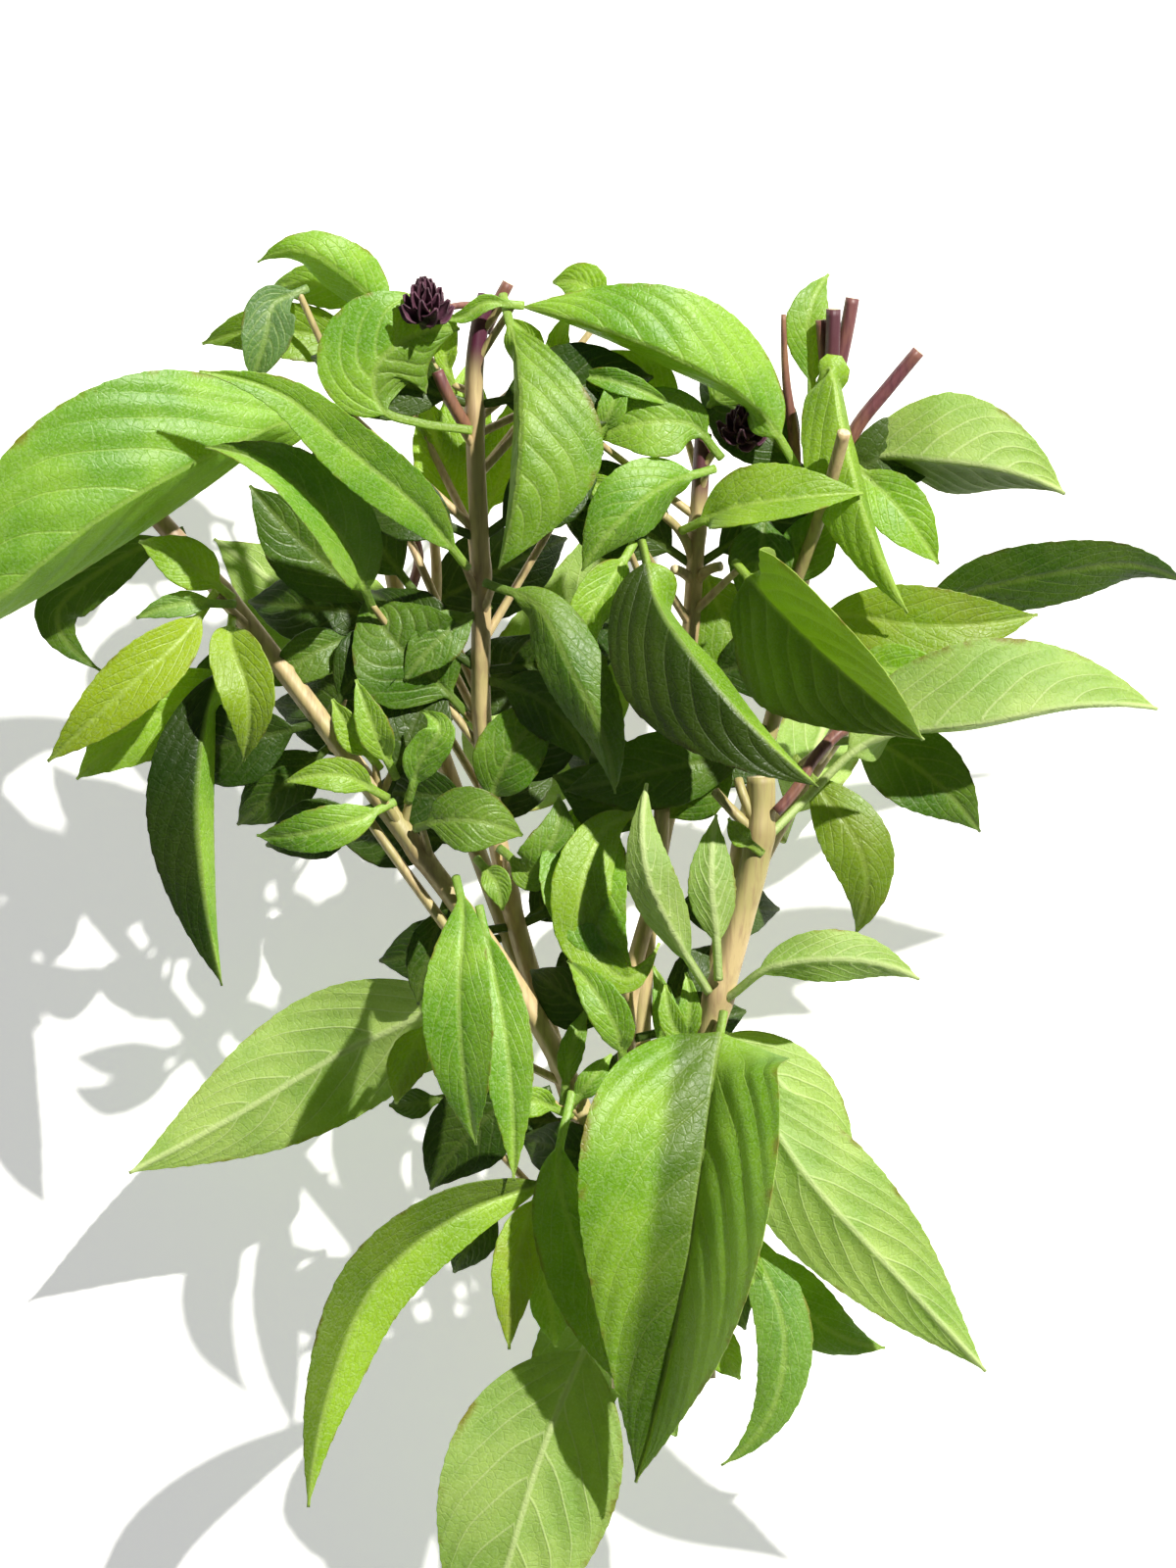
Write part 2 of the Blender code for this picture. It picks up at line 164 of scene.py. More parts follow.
def smooth_line(points, shares):
    """Points at shares 0 to 1 of the way: (1 + 2t)(1 - t)^2 a + t(1 - t)^2 g + t^2(3 - 2t) b - t^2(1 - t) h.

    a and b are the neighbours, g and h their slopes times the gap, and t runs from 0 to 1 between.
    """
    points = np.array(points, dtype=float)
    knots = np.concatenate([[0.0], np.cumsum(np.linalg.norm(np.diff(points, axis=0), axis=1))])
    slopes = np.gradient(points, knots, axis=0, edge_order=2)
    places = np.asarray(shares) * knots[-1]
    left = np.clip(np.searchsorted(knots, places, side="right") - 1, 0, len(points) - 2)
    gap = (knots[left + 1] - knots[left])[:, None]
    t = (places - knots[left])[:, None] / gap
    start = (1 + 2 * t) * (1 - t) ** 2 * points[left] + t * (1 - t) ** 2 * gap * slopes[left]
    end = t**2 * (3 - 2 * t) * points[left + 1] - t**2 * (1 - t) * gap * slopes[left + 1]
    return start + end


print("a quarter bend:", np.round(smooth_line([(0, 0, 0), (3, 1, 0), (4, 4, 0)], [0.5]), 2).tolist())

# %% [markdown]
# ## The leaf
# A basil leaf is an egg-shaped blade on a short round stalk. One midrib runs to the tip, and about
# seven pairs of side veins leave it and bow forward along the margin. Between them the blade puffs
# up a little, so the upper side is quilted and the underside shows the veins as ridges. The
# margin is finely toothed. All of this is one function of two parameters: u along the blade from
# its base to its tip, and v across it from margin to margin.

# %% Leaf settings
class Leaf(NamedTuple):
    """One leaf: its midrib from where the stalk leaves the stem to the tip, and its blade about it.

    roll is the blade's turn about the midrib in degrees, 0 with the upper side up and 180 with the
    underside up. fold is how far the left and the right half rise toward the upper side, seen from
    above the upper side and looking to the tip. cup is the further bend of each half by its
    margin. stalk is the length of the bare stalk, and widest is the share of the blade's length at
    which it is widest.
    """

    path: list
    width: float
    roll: float = 0.0
    fold: tuple = (10.0, 10.0)
    cup: float = 10.0
    stalk: float = 4.0
    widest: float = 0.42


STALK_WIDTH = 1.5  # mm, seen from above
STALK_DEPTH = 1.15  # mm, seen from the side
TIP_WIDTH = 0.5
POINTEDNESS = 1.2  # 1 for a round-tipped blade, more for a drawn-out tip
BLADE_THICKNESS = 0.34
GRID_STEP = 0.62  # mm between the points of a leaf's grid
VEIN_PAIRS = 7.5  # side veins along a blade
VEIN_FORWARD = (0.20, 0.22)  # how far a side vein runs forward: share of the blade, at |v| and |v| squared
PUFF = 0.026  # height of the quilting as a share of the half width
VEIN_WIDTH = 0.42  # mm
VEIN_SLANT = 0.8  # the gap square to a side vein, as a share of the gap along the midrib
RIB_WIDTH = 0.95  # mm, the midrib at the foot of the blade
GROOVE = (0.12, 0.30)  # mm that the upper skin sinks over a side vein and over the midrib
RIDGE = (0.12, 0.62)  # mm that the underside stands out under them
WAVE = 0.045  # height of the margin's waves as a share of the width
CROWDING = 0.96  # near 1 the grid's columns crowd toward the margins
TABLE_GAP = 0.05  # mm, the least height of a skin over the table
ROOTING = 1.8  # mm that a stalk runs on into its stem
TOOTH_SPACING = 3.6  # mm along the margin
TOOTH_DEPTH = 0.22  # mm
print("side veins of a 70 mm leaf are", round(70 / VEIN_PAIRS, 1), "mm apart")


# %% Leaf outline and veins
def smoothstep(low, high, x):
    """0 below low, 1 above high, and 3t^2 - 2t^3 between."""
    t = np.clip((x - low) / (high - low), 0, 1)
    return t * t * (3 - 2 * t)


def blade_outline(leaf, shares, length):
    """Half widths along a leaf: width/2 * u^a (1 - u)^b over its peak, never thinner than the stalk."""
    blade = np.clip((shares * length - leaf.stalk) / (length - leaf.stalk), 0, 1)
    rise = POINTEDNESS * leaf.widest / (1 - leaf.widest)
    shape = blade**rise * (1 - blade) ** POINTEDNESS
    peak = leaf.widest**rise * (1 - leaf.widest) ** POINTEDNESS
    rim = STALK_WIDTH + (TIP_WIDTH - STALK_WIDTH) * smoothstep(0, 0.25, blade)
    return np.maximum(leaf.width * shape / peak, rim) / 2, blade


def vein_number(u, v, shift):
    """Side veins: w = u - a|v| - b v^2 is constant along one, and they lie at whole numbers of w * pairs.

    Returns that product. The left and right veins are set off by a share of their spacing, as they
    alternate.
    """
    reach = np.abs(v)
    drift = 0.12 * np.sin(5.1 * u + 7 * shift) + 0.03 * np.sin(8 * reach + 17 * u)
    return (u - VEIN_FORWARD[0] * reach - VEIN_FORWARD[1] * reach**2) * VEIN_PAIRS + shift * (v < 0) + drift


def both_skins(field):
    """A field of the upper skin, followed by its mirror image for the underside."""
    return np.concatenate([field, field[:, ::-1]], axis=1)


def leaf_shell(leaf, step=GRID_STEP, seed=None):
    """A whole leaf as a flat closed tube around its midrib.

    The middle surface is spine + reach * (cos(bend) * right + sin(bend) * face). The upper and the
    under skin lie half a thickness off it along its normal, with grooves above and ridges below.
    The seed sets the waves and the teeth. Without one, it is worked out from the leaf's own place.
    """
    if seed is None:
        seed = int(abs(leaf.path[0][0] * 7 + leaf.path[-1][1] * 13))
    chance = np.random.default_rng(seed)
    start, next_point = np.array(leaf.path[:2], dtype=float)
    path = [start - unit(next_point - start) * ROOTING, *leaf.path]
    leaf = leaf._replace(path=path, stalk=leaf.stalk + ROOTING)
    length = line_length(leaf.path)
    rows = int(np.clip(length / step, 16, 150))
    columns = 2 * int(np.clip(leaf.width / step / 2, 4, 34))
    shares = np.linspace(0, 1, rows + 1)
    spine = smooth_line(leaf.path, shares)
    half, blade = blade_outline(leaf, shares, length)
    forward = unit(np.gradient(spine, axis=0))
    upward = unit(np.array([0.0, 0.0, 1.0]) - forward[:, 2:3] * forward)
    side = np.cross(forward, upward)
    turn = np.radians(leaf.roll)
    right = np.cos(turn) * side + np.sin(turn) * upward
    face = np.cos(turn) * upward - np.sin(turn) * side

    crowded = np.linspace(-CROWDING, CROWDING, columns + 1) * np.pi / 2
    v = np.sin(crowded) / np.sin(np.pi / 2 * CROWDING)
    u = blade[:, None]
    opened = smoothstep(0.0, 0.12, u)
    bend = np.radians(np.where(v < 0, leaf.fold[0], leaf.fold[1]) * opened + leaf.cup * np.abs(v) / 2)
    tooth_phase = (u * length / TOOTH_SPACING + 0.3 * np.sin(9 * u + chance.uniform(0, 6))) % 1.0
    tooth = TOOTH_DEPTH * tooth_phase * smoothstep(0.12, 0.3, u) * smoothstep(1.0, 0.9, u)
    lopsided = 1 + chance.uniform(-0.04, 0.04) * np.sign(v)
    reach = np.abs(v) * (half[:, None] * lopsided + tooth * v**4)
    wave = sum(
        chance.uniform(0.3, 1.0) / n * np.sin(2 * np.pi * n * u + chance.uniform(0, 6.3) + 0.8 * np.sign(v))
        for n in (1, 2, 3)
    )
    lift = WAVE * leaf.width * wave * v**2 * opened * smoothstep(1.0, 0.8, u)
    surface = spine[:, None] + (np.sign(v) * np.cos(bend) * reach)[..., None] * right[:, None]
    surface = surface + (np.sin(bend) * reach + lift)[..., None] * face[:, None]

    along = np.gradient(surface, axis=0)
    across = np.gradient(surface, axis=1)
    normal = unit(np.cross(across, along))

    number = vein_number(u, v, chance.uniform(0.2, 0.45))
    gap = (length - leaf.stalk) / VEIN_PAIRS * VEIN_SLANT
    side_vein = np.exp(-((np.abs(number - np.round(number)) * gap / VEIN_WIDTH) ** 2)) * opened
    side_vein = side_vein * smoothstep(1.0, 0.55, np.abs(v)) * smoothstep(1.0, 0.85, u)
    puff = np.sin(np.pi * number) ** 2
    rib_distance = v * half[:, None]
    rib_width = RIB_WIDTH * (1 - 0.55 * u)
    rib = np.exp(-((rib_distance / rib_width) ** 2)) * opened
    quilt = PUFF * half[:, None] * puff * opened * (1 - np.abs(v) ** 5) * smoothstep(0, 0.25, np.abs(v))

    stalk = 1 - smoothstep(0.0, 0.07, u)
    round_stalk = STALK_DEPTH * np.sqrt(np.clip(1 - v**2, 0.04, 1))
    thin = BLADE_THICKNESS * (1 - 0.45 * v**6)
    thickness = thin * (1 - stalk) + round_stalk * stalk
    groove = GROOVE[0] * side_vein + GROOVE[1] * rib * (1 - 0.5 * u)
    ridge = RIDGE[0] * side_vein + RIDGE[1] * rib * (1 - 0.7 * u)
    upper = surface + normal * (thickness / 2 + quilt - groove)[..., None]
    under = surface - normal * (thickness / 2 - quilt + ridge)[..., None]
    pushed = np.maximum(0, TABLE_GAP - np.minimum(upper[..., 2], under[..., 2]))
    upper[..., 2] += pushed
    under[..., 2] += pushed

    ring = np.concatenate([upper, under[:, ::-1]], axis=1)
    whole = np.ones_like(surface[..., 0])
    values = {
        "vein_number": both_skins(number * whole),
        "vein_gap": both_skins(gap * whole),
        "vein_show": both_skins(opened * smoothstep(1.0, 0.6, np.abs(v)) * smoothstep(1.0, 0.8, u)),
        "margin": both_skins(smoothstep(0.0, 1.0, np.abs(v) ** 6 * whole)),
        "along": both_skins(u * whole),
        "across": both_skins(v * whole * half[:, None]),
    }
    return Shell(ring, values, columns + 1)


trial = leaf_shell(Leaf([(0, 0, 10), (0, 35, 14), (0, 70, 10)], 30))
print("a 70 mm leaf has", trial.points.shape[0] * trial.points.shape[1], "points")

# %% [markdown]
# ## Colours and nodes
# Colours are written as the hex values one would pick from a fresh bunch in daylight. A shader
# works with linear light, so one function turns them. A pattern's scale is the number of its
# features in a metre, so a function of the feature's real size in millimetres gives it.

# %% Colour, scale and node helpers
def linear(code):
    """A hex colour as linear RGB and 1: c / 12.92 below 0.04045, else ((c + 0.055) / 1.055)^2.4."""
    c = np.array([int(code[i : i + 2], 16) for i in (1, 3, 5)]) / 255
    c = np.where(c <= 0.04045, c / 12.92, ((c + 0.055) / 1.055) ** 2.4)
    return (*[float(x) for x in c], 1.0)


def per_mm(size):
    """The scale of a pattern whose features are that many millimetres across."""
    return 1000.0 / size


def add_node(tree, kind, inputs=(), **settings):
    """One node with its settings; inputs maps a socket's name or number to a value or an output."""
    made = tree.nodes.new(kind)
    for key, value in settings.items():
        setattr(made, key, value)
    for key, value in dict(inputs).items():
        if isinstance(value, bpy.types.NodeSocket):
            tree.links.new(value, made.inputs[key])
        else:
            made.inputs[key].default_value = value
    return made


def new_material(name):
    """A material, its node tree, its shader, and the place on the object, which patterns follow."""
    material = bpy.data.materials.new(name)
    material.use_nodes = True
    tree = material.node_tree
    place = add_node(tree, "ShaderNodeTexCoord").outputs["Object"]
    return material, tree, tree.nodes["Principled BSDF"], place


def blend_colours(tree, share, first, second):
    """The output of a Mix node: first where share is 0, second where it is 1."""
    inputs = {0: share, 6: first, 7: second}
    return add_node(tree, "ShaderNodeMix", inputs, data_type="RGBA").outputs[2]


def value_of(tree, name):
    """The output of an attribute that the mesh carries."""
    return add_node(tree, "ShaderNodeAttribute", attribute_name=name).outputs["Fac"]


def scaled(tree, value, low, high, to_low=0.0, to_high=1.0):
    """The value moved from the range low to high to the range to_low to to_high, and clamped."""
    inputs = {"Value": value, 1: low, 2: high, 3: to_low, 4: to_high}
    return add_node(tree, "ShaderNodeMapRange", inputs).outputs[0]


def noise_of(tree, place, size, detail=3.0, roughness=0.55):
    """A noise of that feature size in mm, from about 0.3 to 0.7."""
    inputs = {"Vector": place, "Scale": per_mm(size), "Detail": detail, "Roughness": roughness}
    return add_node(tree, "ShaderNodeTexNoise", inputs).outputs["Fac"]


def math_of(tree, operation, first, second=0.0):
    """The result of a Math node."""
    return add_node(tree, "ShaderNodeMath", {0: first, 1: second}, operation=operation).outputs[0]


print("leaf green as linear light:", [round(c, 3) for c in linear("#5E9C1F")])

# %% [markdown]
# ## Leaf skin
# A basil blade is living tissue between two skins. The upper skin is a deep, fresh green with a
# thin wax that gives a broad soft gloss, and its cells stand a little proud, so the gloss looks
# granular; that glitter is also painted into the colour as pale specks, a painted sheen. The
# underside is paler and duller, with pale veins. Light that enters one side leaves the other as a
# bright yellow green, which a Translucent shader gives on both skins. The same material serves all
# leaves. Each mesh says with its own values where the veins and the margin are, how yellow or
# bronzed the leaf is, and how much painted shade darkens it.

# %% Leaf materials
CELL = 0.45  # mm; the real cells are finer, and are drawn this coarse so that they show
NET = 1.5  # mm, the mesh of the smallest veins
GLOW = "#CCEC0C"  # the light that has passed through a blade
SIDE_VEIN = (0.10, 0.38)  # mm from a side vein's middle: solid to the first, faded out at the second
MIDRIB = (0.25, 0.70)


def leaf_veins(tree):
    """1 on a vein, 0 off it: the distance to the nearest whole vein number times the gap, in mm."""
    off_whole = math_of(tree, "PINGPONG", value_of(tree, "vein_number"), 0.5)
    away = math_of(tree, "MULTIPLY", off_whole, value_of(tree, "vein_gap"))
    side = math_of(tree, "MULTIPLY", scaled(tree, away, *SIDE_VEIN, 0.75, 0.0), value_of(tree, "vein_show"))
    from_rib = math_of(tree, "ABSOLUTE", value_of(tree, "across"))
    return math_of(tree, "MAXIMUM", side, scaled(tree, from_rib, *MIDRIB, 1.0, 0.0))


def leaf_material(name, fresh, deep, vein, gloss, through, vein_show, vein_relief, painted_sheen):
    """Basil leaf skin: fresh and deep greens clouded together, veins, aging, painted shade, cell bumps with a
    painted sheen, glow.

    gloss is the roughness of the wax, through the share of light that passes, the last argument how
    much pale painted sheen is mixed into the colour of the cells, vein_show how pale the veins are and
    vein_relief how far they stand out.
    """
    material, tree, shader, place = new_material(name)
    cloud = scaled(tree, noise_of(tree, place, 14.0), 0.36, 0.64)
    green = blend_colours(tree, cloud, linear(deep), linear(fresh))
    green = blend_colours(tree, value_of(tree, "yellow"), green, linear("#A9BE22"))
    green = blend_colours(tree, value_of(tree, "grey"), green, linear("#5C7C5A"))
    vein_line = leaf_veins(tree)
    green = blend_colours(tree, math_of(tree, "MULTIPLY", vein_line, vein_show), green, linear(vein))
    cells = noise_of(tree, place, CELL, 2.0)
    # painted sheen: pale specks on the cells stand in for the glitter of the wax
    green = blend_colours(tree, scaled(tree, cells, 0.45, 0.68, 0.0, painted_sheen), green, linear("#D8E8B8"))
    patch = noise_of(tree, place, 7.0, 4.0, 0.7)
    rim = scaled(tree, value_of(tree, "margin"), 0.55, 1.0)
    rusty = math_of(tree, "MULTIPLY", rim, scaled(tree, patch, 0.5, 0.62))
    green = blend_colours(tree, rusty, green, linear("#7A6A2C"))
    bronze = math_of(tree, "MULTIPLY", value_of(tree, "bronze"), scaled(tree, patch, 0.35, 0.6))
    green = blend_colours(tree, bronze, green, linear("#7C6228"))
    # painted shade: the dark value darkens the green toward a deep shadow green
    painted_shade_share = scaled(tree, value_of(tree, "dark"), 0.0, 1.0, 0.0, 0.9)
    green = blend_colours(tree, painted_shade_share, green, linear("#142800"))
    mesh_of_veins = {"Vector": place, "Scale": per_mm(NET)}
    net = add_node(tree, "ShaderNodeTexVoronoi", mesh_of_veins, feature="DISTANCE_TO_EDGE")
    relief = math_of(tree, "ADD", cells, scaled(tree, net.outputs["Distance"], 0.0, 0.12, 0.0, 0.6))
    relief = math_of(tree, "ADD", relief, math_of(tree, "MULTIPLY", vein_line, vein_relief))
    bump = add_node(tree, "ShaderNodeBump", {"Height": relief, "Strength": 0.45, "Distance": 0.00014})
    tree.links.new(green, shader.inputs["Base Color"])
    tree.links.new(scaled(tree, cells, 0.3, 0.7, gloss - 0.07, gloss + 0.10), shader.inputs["Roughness"])
    tree.links.new(bump.outputs[0], shader.inputs["Normal"])
    shader.inputs["IOR"].default_value = 1.45  # plant wax
    # painted shade also dims the light that passes through, toward a dark olive
    light = blend_colours(tree, value_of(tree, "dark"), linear(GLOW), linear("#3C6000"))
    light = blend_colours(tree, math_of(tree, "MULTIPLY", vein_line, vein_show), light, linear("#C8DA78"))
    passing = add_node(tree, "ShaderNodeBsdfTranslucent", {"Color": light, "Normal": bump.outputs[0]})
    mixed = add_node(tree, "ShaderNodeMixShader", {0: through, 1: shader.outputs[0], 2: passing.outputs[0]})
    tree.links.new(mixed.outputs[0], tree.nodes["Material Output"].inputs["Surface"])
    return material


# the last number of each skin is its painted sheen
upper_skin = leaf_material(
    "basil_leaf_upper_skin", fresh="#8EB83A", deep="#5C921A", vein="#C4DC78", gloss=0.42,
    through=0.34, vein_show=0.36, vein_relief=-1.8, painted_sheen=0.22,
)
under_skin = leaf_material(
    "basil_leaf_underside", fresh="#A8BE66", deep="#86A64C", vein="#DCEAA8", gloss=0.56,
    through=0.32, vein_show=0.60, vein_relief=2.0, painted_sheen=0.18,
)
print("leaf skins:", upper_skin.name, "and", under_skin.name)

# %% [markdown]
# ## The leaves of this bunch
# Each row is one leaf: its midrib's points, its width, its turn, the fold of its two halves, its
# cup, its stalk and where it is widest. The solids have the same midribs, widths and folds.

# %% Leaves
LEAVES = {
    # ---- upper left ----
    "big_left_leaf": Leaf([(-40, 129, 60), (-47, 128, 64), (-62, 121.5, 73), (-80, 111, 78),
        (-98, 97, 75), (-112, 87, 65)], 38, 0, (-72, 4), -8, 6, 0.45),
    "top_left_leaf": Leaf([(-31, 146, 47), (-37, 149.5, 50), (-41.5, 153, 53), (-47, 156.4, 54),
        (-56, 155, 50)], 11.5, 0, (-50, -8), -10, 4, 0.3),
    "left_pointed_leaf": Leaf([(-34, 138.5, 42), (-41, 141.5, 43), (-53, 144, 44), (-66, 142, 38)], 10, 0,
        (15, 15), 5, 4),
    "round_leaf": Leaf([(-21.2, 126.3, 61), (-28, 127.2, 62), (-34.5, 129.5, 63), (-35.5, 136, 65),
        (-30, 141.3, 65), (-21.5, 143, 61)], 21, 0, (2, -26), -5, 13, 0.42),
    "left_diagonal_leaf": Leaf([(-21, 104, 60), (-27.5, 112, 70), (-39, 121.5, 80), (-51, 131, 86),
        (-63.8, 134.3, 88)], 10, 0, (14, 14), 5, 3),
    "arched_leaf": Leaf([(-36.5, 97, 57), (-40.3, 106.4, 67), (-45.5, 113.3, 74), (-52.5, 119, 78),
        (-63.3, 122.5, 78)], 14.5, 0, (62, 2), -5, 3),
    "left_yellow_leaf": Leaf([(-63.5, 98, 56), (-67, 92.5, 60), (-77, 83, 63), (-91, 70.5, 57)], 11, 0,
        (16, 16), 5, 4),
    "left_small_bright_leaf": Leaf([(-60, 94.5, 56), (-60, 91, 61), (-57, 82, 64), (-58, 70.5, 58)], 10,
        0, (16, 16), 5, 2),
    "left_green_leaf": Leaf([(-57, 88, 47), (-63, 84, 49), (-75, 77, 50), (-87, 67.5, 45)], 13, 0,
        (12, 5), 0, 5),
    "left_hanging_leaf": Leaf([(-60.5, 90, 54), (-63.5, 81, 57), (-65.5, 66, 59), (-64.8, 50, 56),
        (-61.9, 32.5, 50)], 17, 0, (-72, -6), -5, 5),
    # ---- upper middle ----
    "centre_top_leaf": Leaf([(-14, 147.5, 61), (-12.5, 141, 66), (-11.5, 122, 73), (-15, 102.5, 68)], 28,
        0, (-8, -82), -8, 5, 0.5),
    "top_arch_leaf": Leaf([(36, 119, 53), (30, 128, 58), (14, 138, 65), (0, 143.5, 64), (-11.5, 147, 58)],
        25, 0, (-82, -12), -8, 8),
    "centre_pale_leaf": Leaf([(20, 119.5, 54), (14, 117.5, 58), (6, 111.5, 61), (-1, 102.5, 57)], 14, 0,
        (-45, -5), -8, 3),
    "right_centre_leaf": Leaf([(17, 110, 54), (24, 113, 60), (35, 114.5, 64), (46.2, 115.5, 62)], 13, 0,
        (-6, 58), 0, 3),
    "right_folded_leaf": Leaf([(38, 131, 52), (40.5, 136.6, 57), (43.2, 125, 61), (46.5, 112, 61),
        (54, 95.5, 55)], 18, 0, (-78, -28), -5, 5),
    "right_top_leaf": Leaf([(43, 119.5, 44), (48, 121.8, 47), (58.5, 121.4, 54), (70, 119.7, 54),
        (80.8, 116, 48)], 23, 180, (62, 5), 5, 5),
    "far_right_leaf": Leaf([(53, 91, 38), (60, 97, 43), (80, 102.5, 48), (92, 104, 46), (102, 101, 40)],
        12.5, -35, (-10, -5), 0, 6),
    "right_bronze_leaf": Leaf([(37, 96, 44), (43, 95.5, 47), (58, 93.5, 50), (76.5, 95.5, 45)], 13, 0,
        (12, 8), 0, 4),
    "bright_folded_leaf": Leaf([(25.5, 103, 60), (30.3, 97.3, 66), (39.7, 87.8, 72), (47.5, 81, 71),
        (56, 74, 67)], 30, 0, (70, -24), -5, 3, 0.36),
    "centre_folded_leaf": Leaf([(9.3, 106, 64), (11.2, 98, 70), (17.2, 88.1, 78), (25, 78.5, 80),
        (38.3, 66.2, 76)], 27, 0, (-76, -14), -5, 3, 0.38),
    "centre_dark_leaf": Leaf([(29, 71.5, 52), (20, 70.5, 54), (6, 67.5, 55), (-4, 65.5, 51)], 13, 0,
        (0, 0), -5, 3),
    "centre_hanging_leaf": Leaf([(-16, 100, 60), (-9, 97, 65), (-3, 86, 68), (2, 76, 67), (4.5, 65, 60)],
        12.5, 0, (-15, -40), -5, 4),
    "left_centre_round_leaf": Leaf([(-21, 79, 49), (-25.5, 84, 52), (-32, 90, 56), (-38, 98, 51)], 19, 0,
        (4, 4), 5, 4),
    # ---- middle left ----
    "left_low_leaf": Leaf([(-34, 63, 55), (-38, 61, 58), (-47, 58.5, 59), (-56, 58, 53)], 7.5, 0,
        (-15, 10), 0, 2),
    "left_hanging_front_leaf": Leaf([(-22, 50, 56), (-21, 46, 62), (-21.5, 30, 67), (-18.8, 6, 59)], 12,
        0, (20, -8), 0, 3, 0.5),
    "left_hanging_back_leaf": Leaf([(-18, 44.5, 54), (-16.5, 38, 57), (-13.5, 22, 61), (-12.5, 0, 59)], 9,
        0, (10, 10), 0, 3),
    "lower_left_leaf": Leaf([(-17, 34, 45), (-27, 28, 40), (-44, 19.5, 33), (-60, 10, 31),
        (-79, -0.3, 30)], 23, 180, (12, 12), 5, 8, 0.4),
    # ---- middle right ----
    "pale_upright_leaf": Leaf([(19.5, 33, 61), (14.7, 41, 67), (9.8, 52, 72), (9.8, 66.7, 66)], 9, 180,
        (10, 35), 5, 6),
    "second_upright_leaf": Leaf([(21.8, 35.5, 62), (21.5, 41, 64), (20.6, 51, 66), (21.5, 61.5, 63)], 8,
        180, (10, 10), 5, 5),
    "right_small_leaf": Leaf([(24.5, 31.5, 60), (30, 35.8, 65), (42, 37.5, 67), (55.5, 34, 60)], 9.5, 180,
        (35, 5), 0, 7),
    "right_long_leaf": Leaf([(31.5, 59, 57), (37, 64.5, 55), (46, 73, 56), (66, 77, 60), (84, 80, 56),
        (96.5, 79.5, 48)], 28, 180, (84, 4), 5, 18),
    "right_dark_leaf": Leaf([(42, 74, 36), (48, 74, 41), (58, 68, 45), (67, 58.5, 40)], 14, 0, (5, 5), 0,
        4),
    "right_hanging_leaf": Leaf([(36, 70, 49), (40, 65, 51), (46.3, 55, 52), (45.5, 41, 43)], 11.5, 0,
        (-10, -10), 0, 3),
    "centre_inner_leaf": Leaf([(2, 66, 46), (0, 60, 50), (0, 47, 56), (8, 34, 57)], 15, 0, (12, 8), 0, 3),
    # ---- bottom ----
    "big_front_leaf": Leaf([(22.5, 27, 62), (21.7, 22.5, 65), (19, 4, 71), (16.5, -14, 71), (13, -32, 65),
        (8, -51, 56)], 40, 0, (56, 6), -5, 3, 0.28),
    "right_lower_back_leaf": Leaf([(20, 26, 49), (25, 23, 51), (36, 12, 52), (45, -2, 46)], 15, 180,
        (5, 5), 5, 4),
    "right_lower_leaf": Leaf([(20, 21, 60), (28.5, 12.5, 60), (37, 0.5, 61), (51, -15, 57),
        (67.5, -33, 46)], 21.5, 180, (20, 8), 5, 8, 0.36),
    "grey_green_leaf": Leaf([(21, -5, 49), (26, -10, 51), (33, -25, 52), (31, -40, 48),
        (22.7, -49.5, 42)], 9.5, 0, (-10, -10), 0, 4),
    "centre_lower_leaf": Leaf([(-3, 13, 52), (-5, 3, 56), (-1, -14, 59), (7, -36.5, 53)], 13, 0,
        (-10, 12), 0, 8),
    "lower_left_curved_leaf": Leaf([(-2, 0.5, 50.5), (-10, -1.5, 54), (-22, -6, 58), (-35.5, -17, 60),
        (-43, -34, 60), (-47, -55, 58)], 13, 0, (-14, 28), 0, 6),
    "bottom_leaf": Leaf([(3, -22, 51.5), (-1, -30, 51.5), (-8, -47, 50), (-14, -67, 47), (-20, -88, 38)],
        30, 180, (4, 4), 5, 8, 0.38),
    # ---- on the table, under the bunch ----
    "under_middle_leaf": Leaf([(-22.5, 60, 23), (-16, 66, 12), (-8, 80, 0), (0, 100, 0), (4, 116, 0)], 27,
        180, (4, 4), 0, 8),
    "under_left_leaf": Leaf([(-32, 84, 22), (-38, 88, 12), (-50, 98, 0), (-66, 110, 0)], 24, 180, (4, 4),
        0, 6),
    "under_right_leaf": Leaf([(34, 58, 24), (38, 68, 12), (46, 84, 0), (60, 95, 0)], 15, 180, (4, 4), 0,
        6),
    "under_low_left_leaf": Leaf([(-8, 29.5, 23), (-16, 30, 10), (-34, 22, 0), (-54, 14, 0)], 16, 180,
        (4, 4), 0, 6),
    "under_low_right_leaf": Leaf([(23, 14, 28), (27, 8, 12), (38, -2, 0), (52, -16, 0)], 14, 180, (4, 4),
        0, 6),
    "under_bottom_leaf": Leaf([(8, -13, 26), (5, -22, 12), (-3, -40, 0), (-12, -62, 0)], 18, 180, (4, 4),
        0, 6),
}
print(len(LEAVES), "leaves, longest", round(max(line_length(leaf.path) for leaf in LEAVES.values())), "mm")

# %% [markdown]
# ## Each leaf's own age, and painted shade
# Leaves of one bunch differ: young ones are yellow green, old ones turn olive and bronze at the
# margin. Leaves that lie in the shade of the bunch get painted shade: their green is darkened over
# the whole blade or over one half. Each leaf gets a few numbers from 0 to 1 for this. A leaf that
# isn't named is a plain fresh green.

# %% Tints and painted shade by leaf
class TintAndPaintedShade(NamedTuple):
    """How far a leaf has gone toward each of its kind's other colours, and how much painted shade it has.

    dark is painted shade over the whole blade. shade is the same painted shade for one half only: its
    left or its right number. It fades out at reach, in mm from the midrib, so that it can paint a
    shadow band beside the midrib.
    """

    # dark and shade are painted shade, not colours of the leaf
    dark: float = 0.0
    yellow: float = 0.0
    grey: float = 0.0
    bronze: float = 0.0
    shade: tuple = (0.0, 0.0)
    reach: float = 100.0
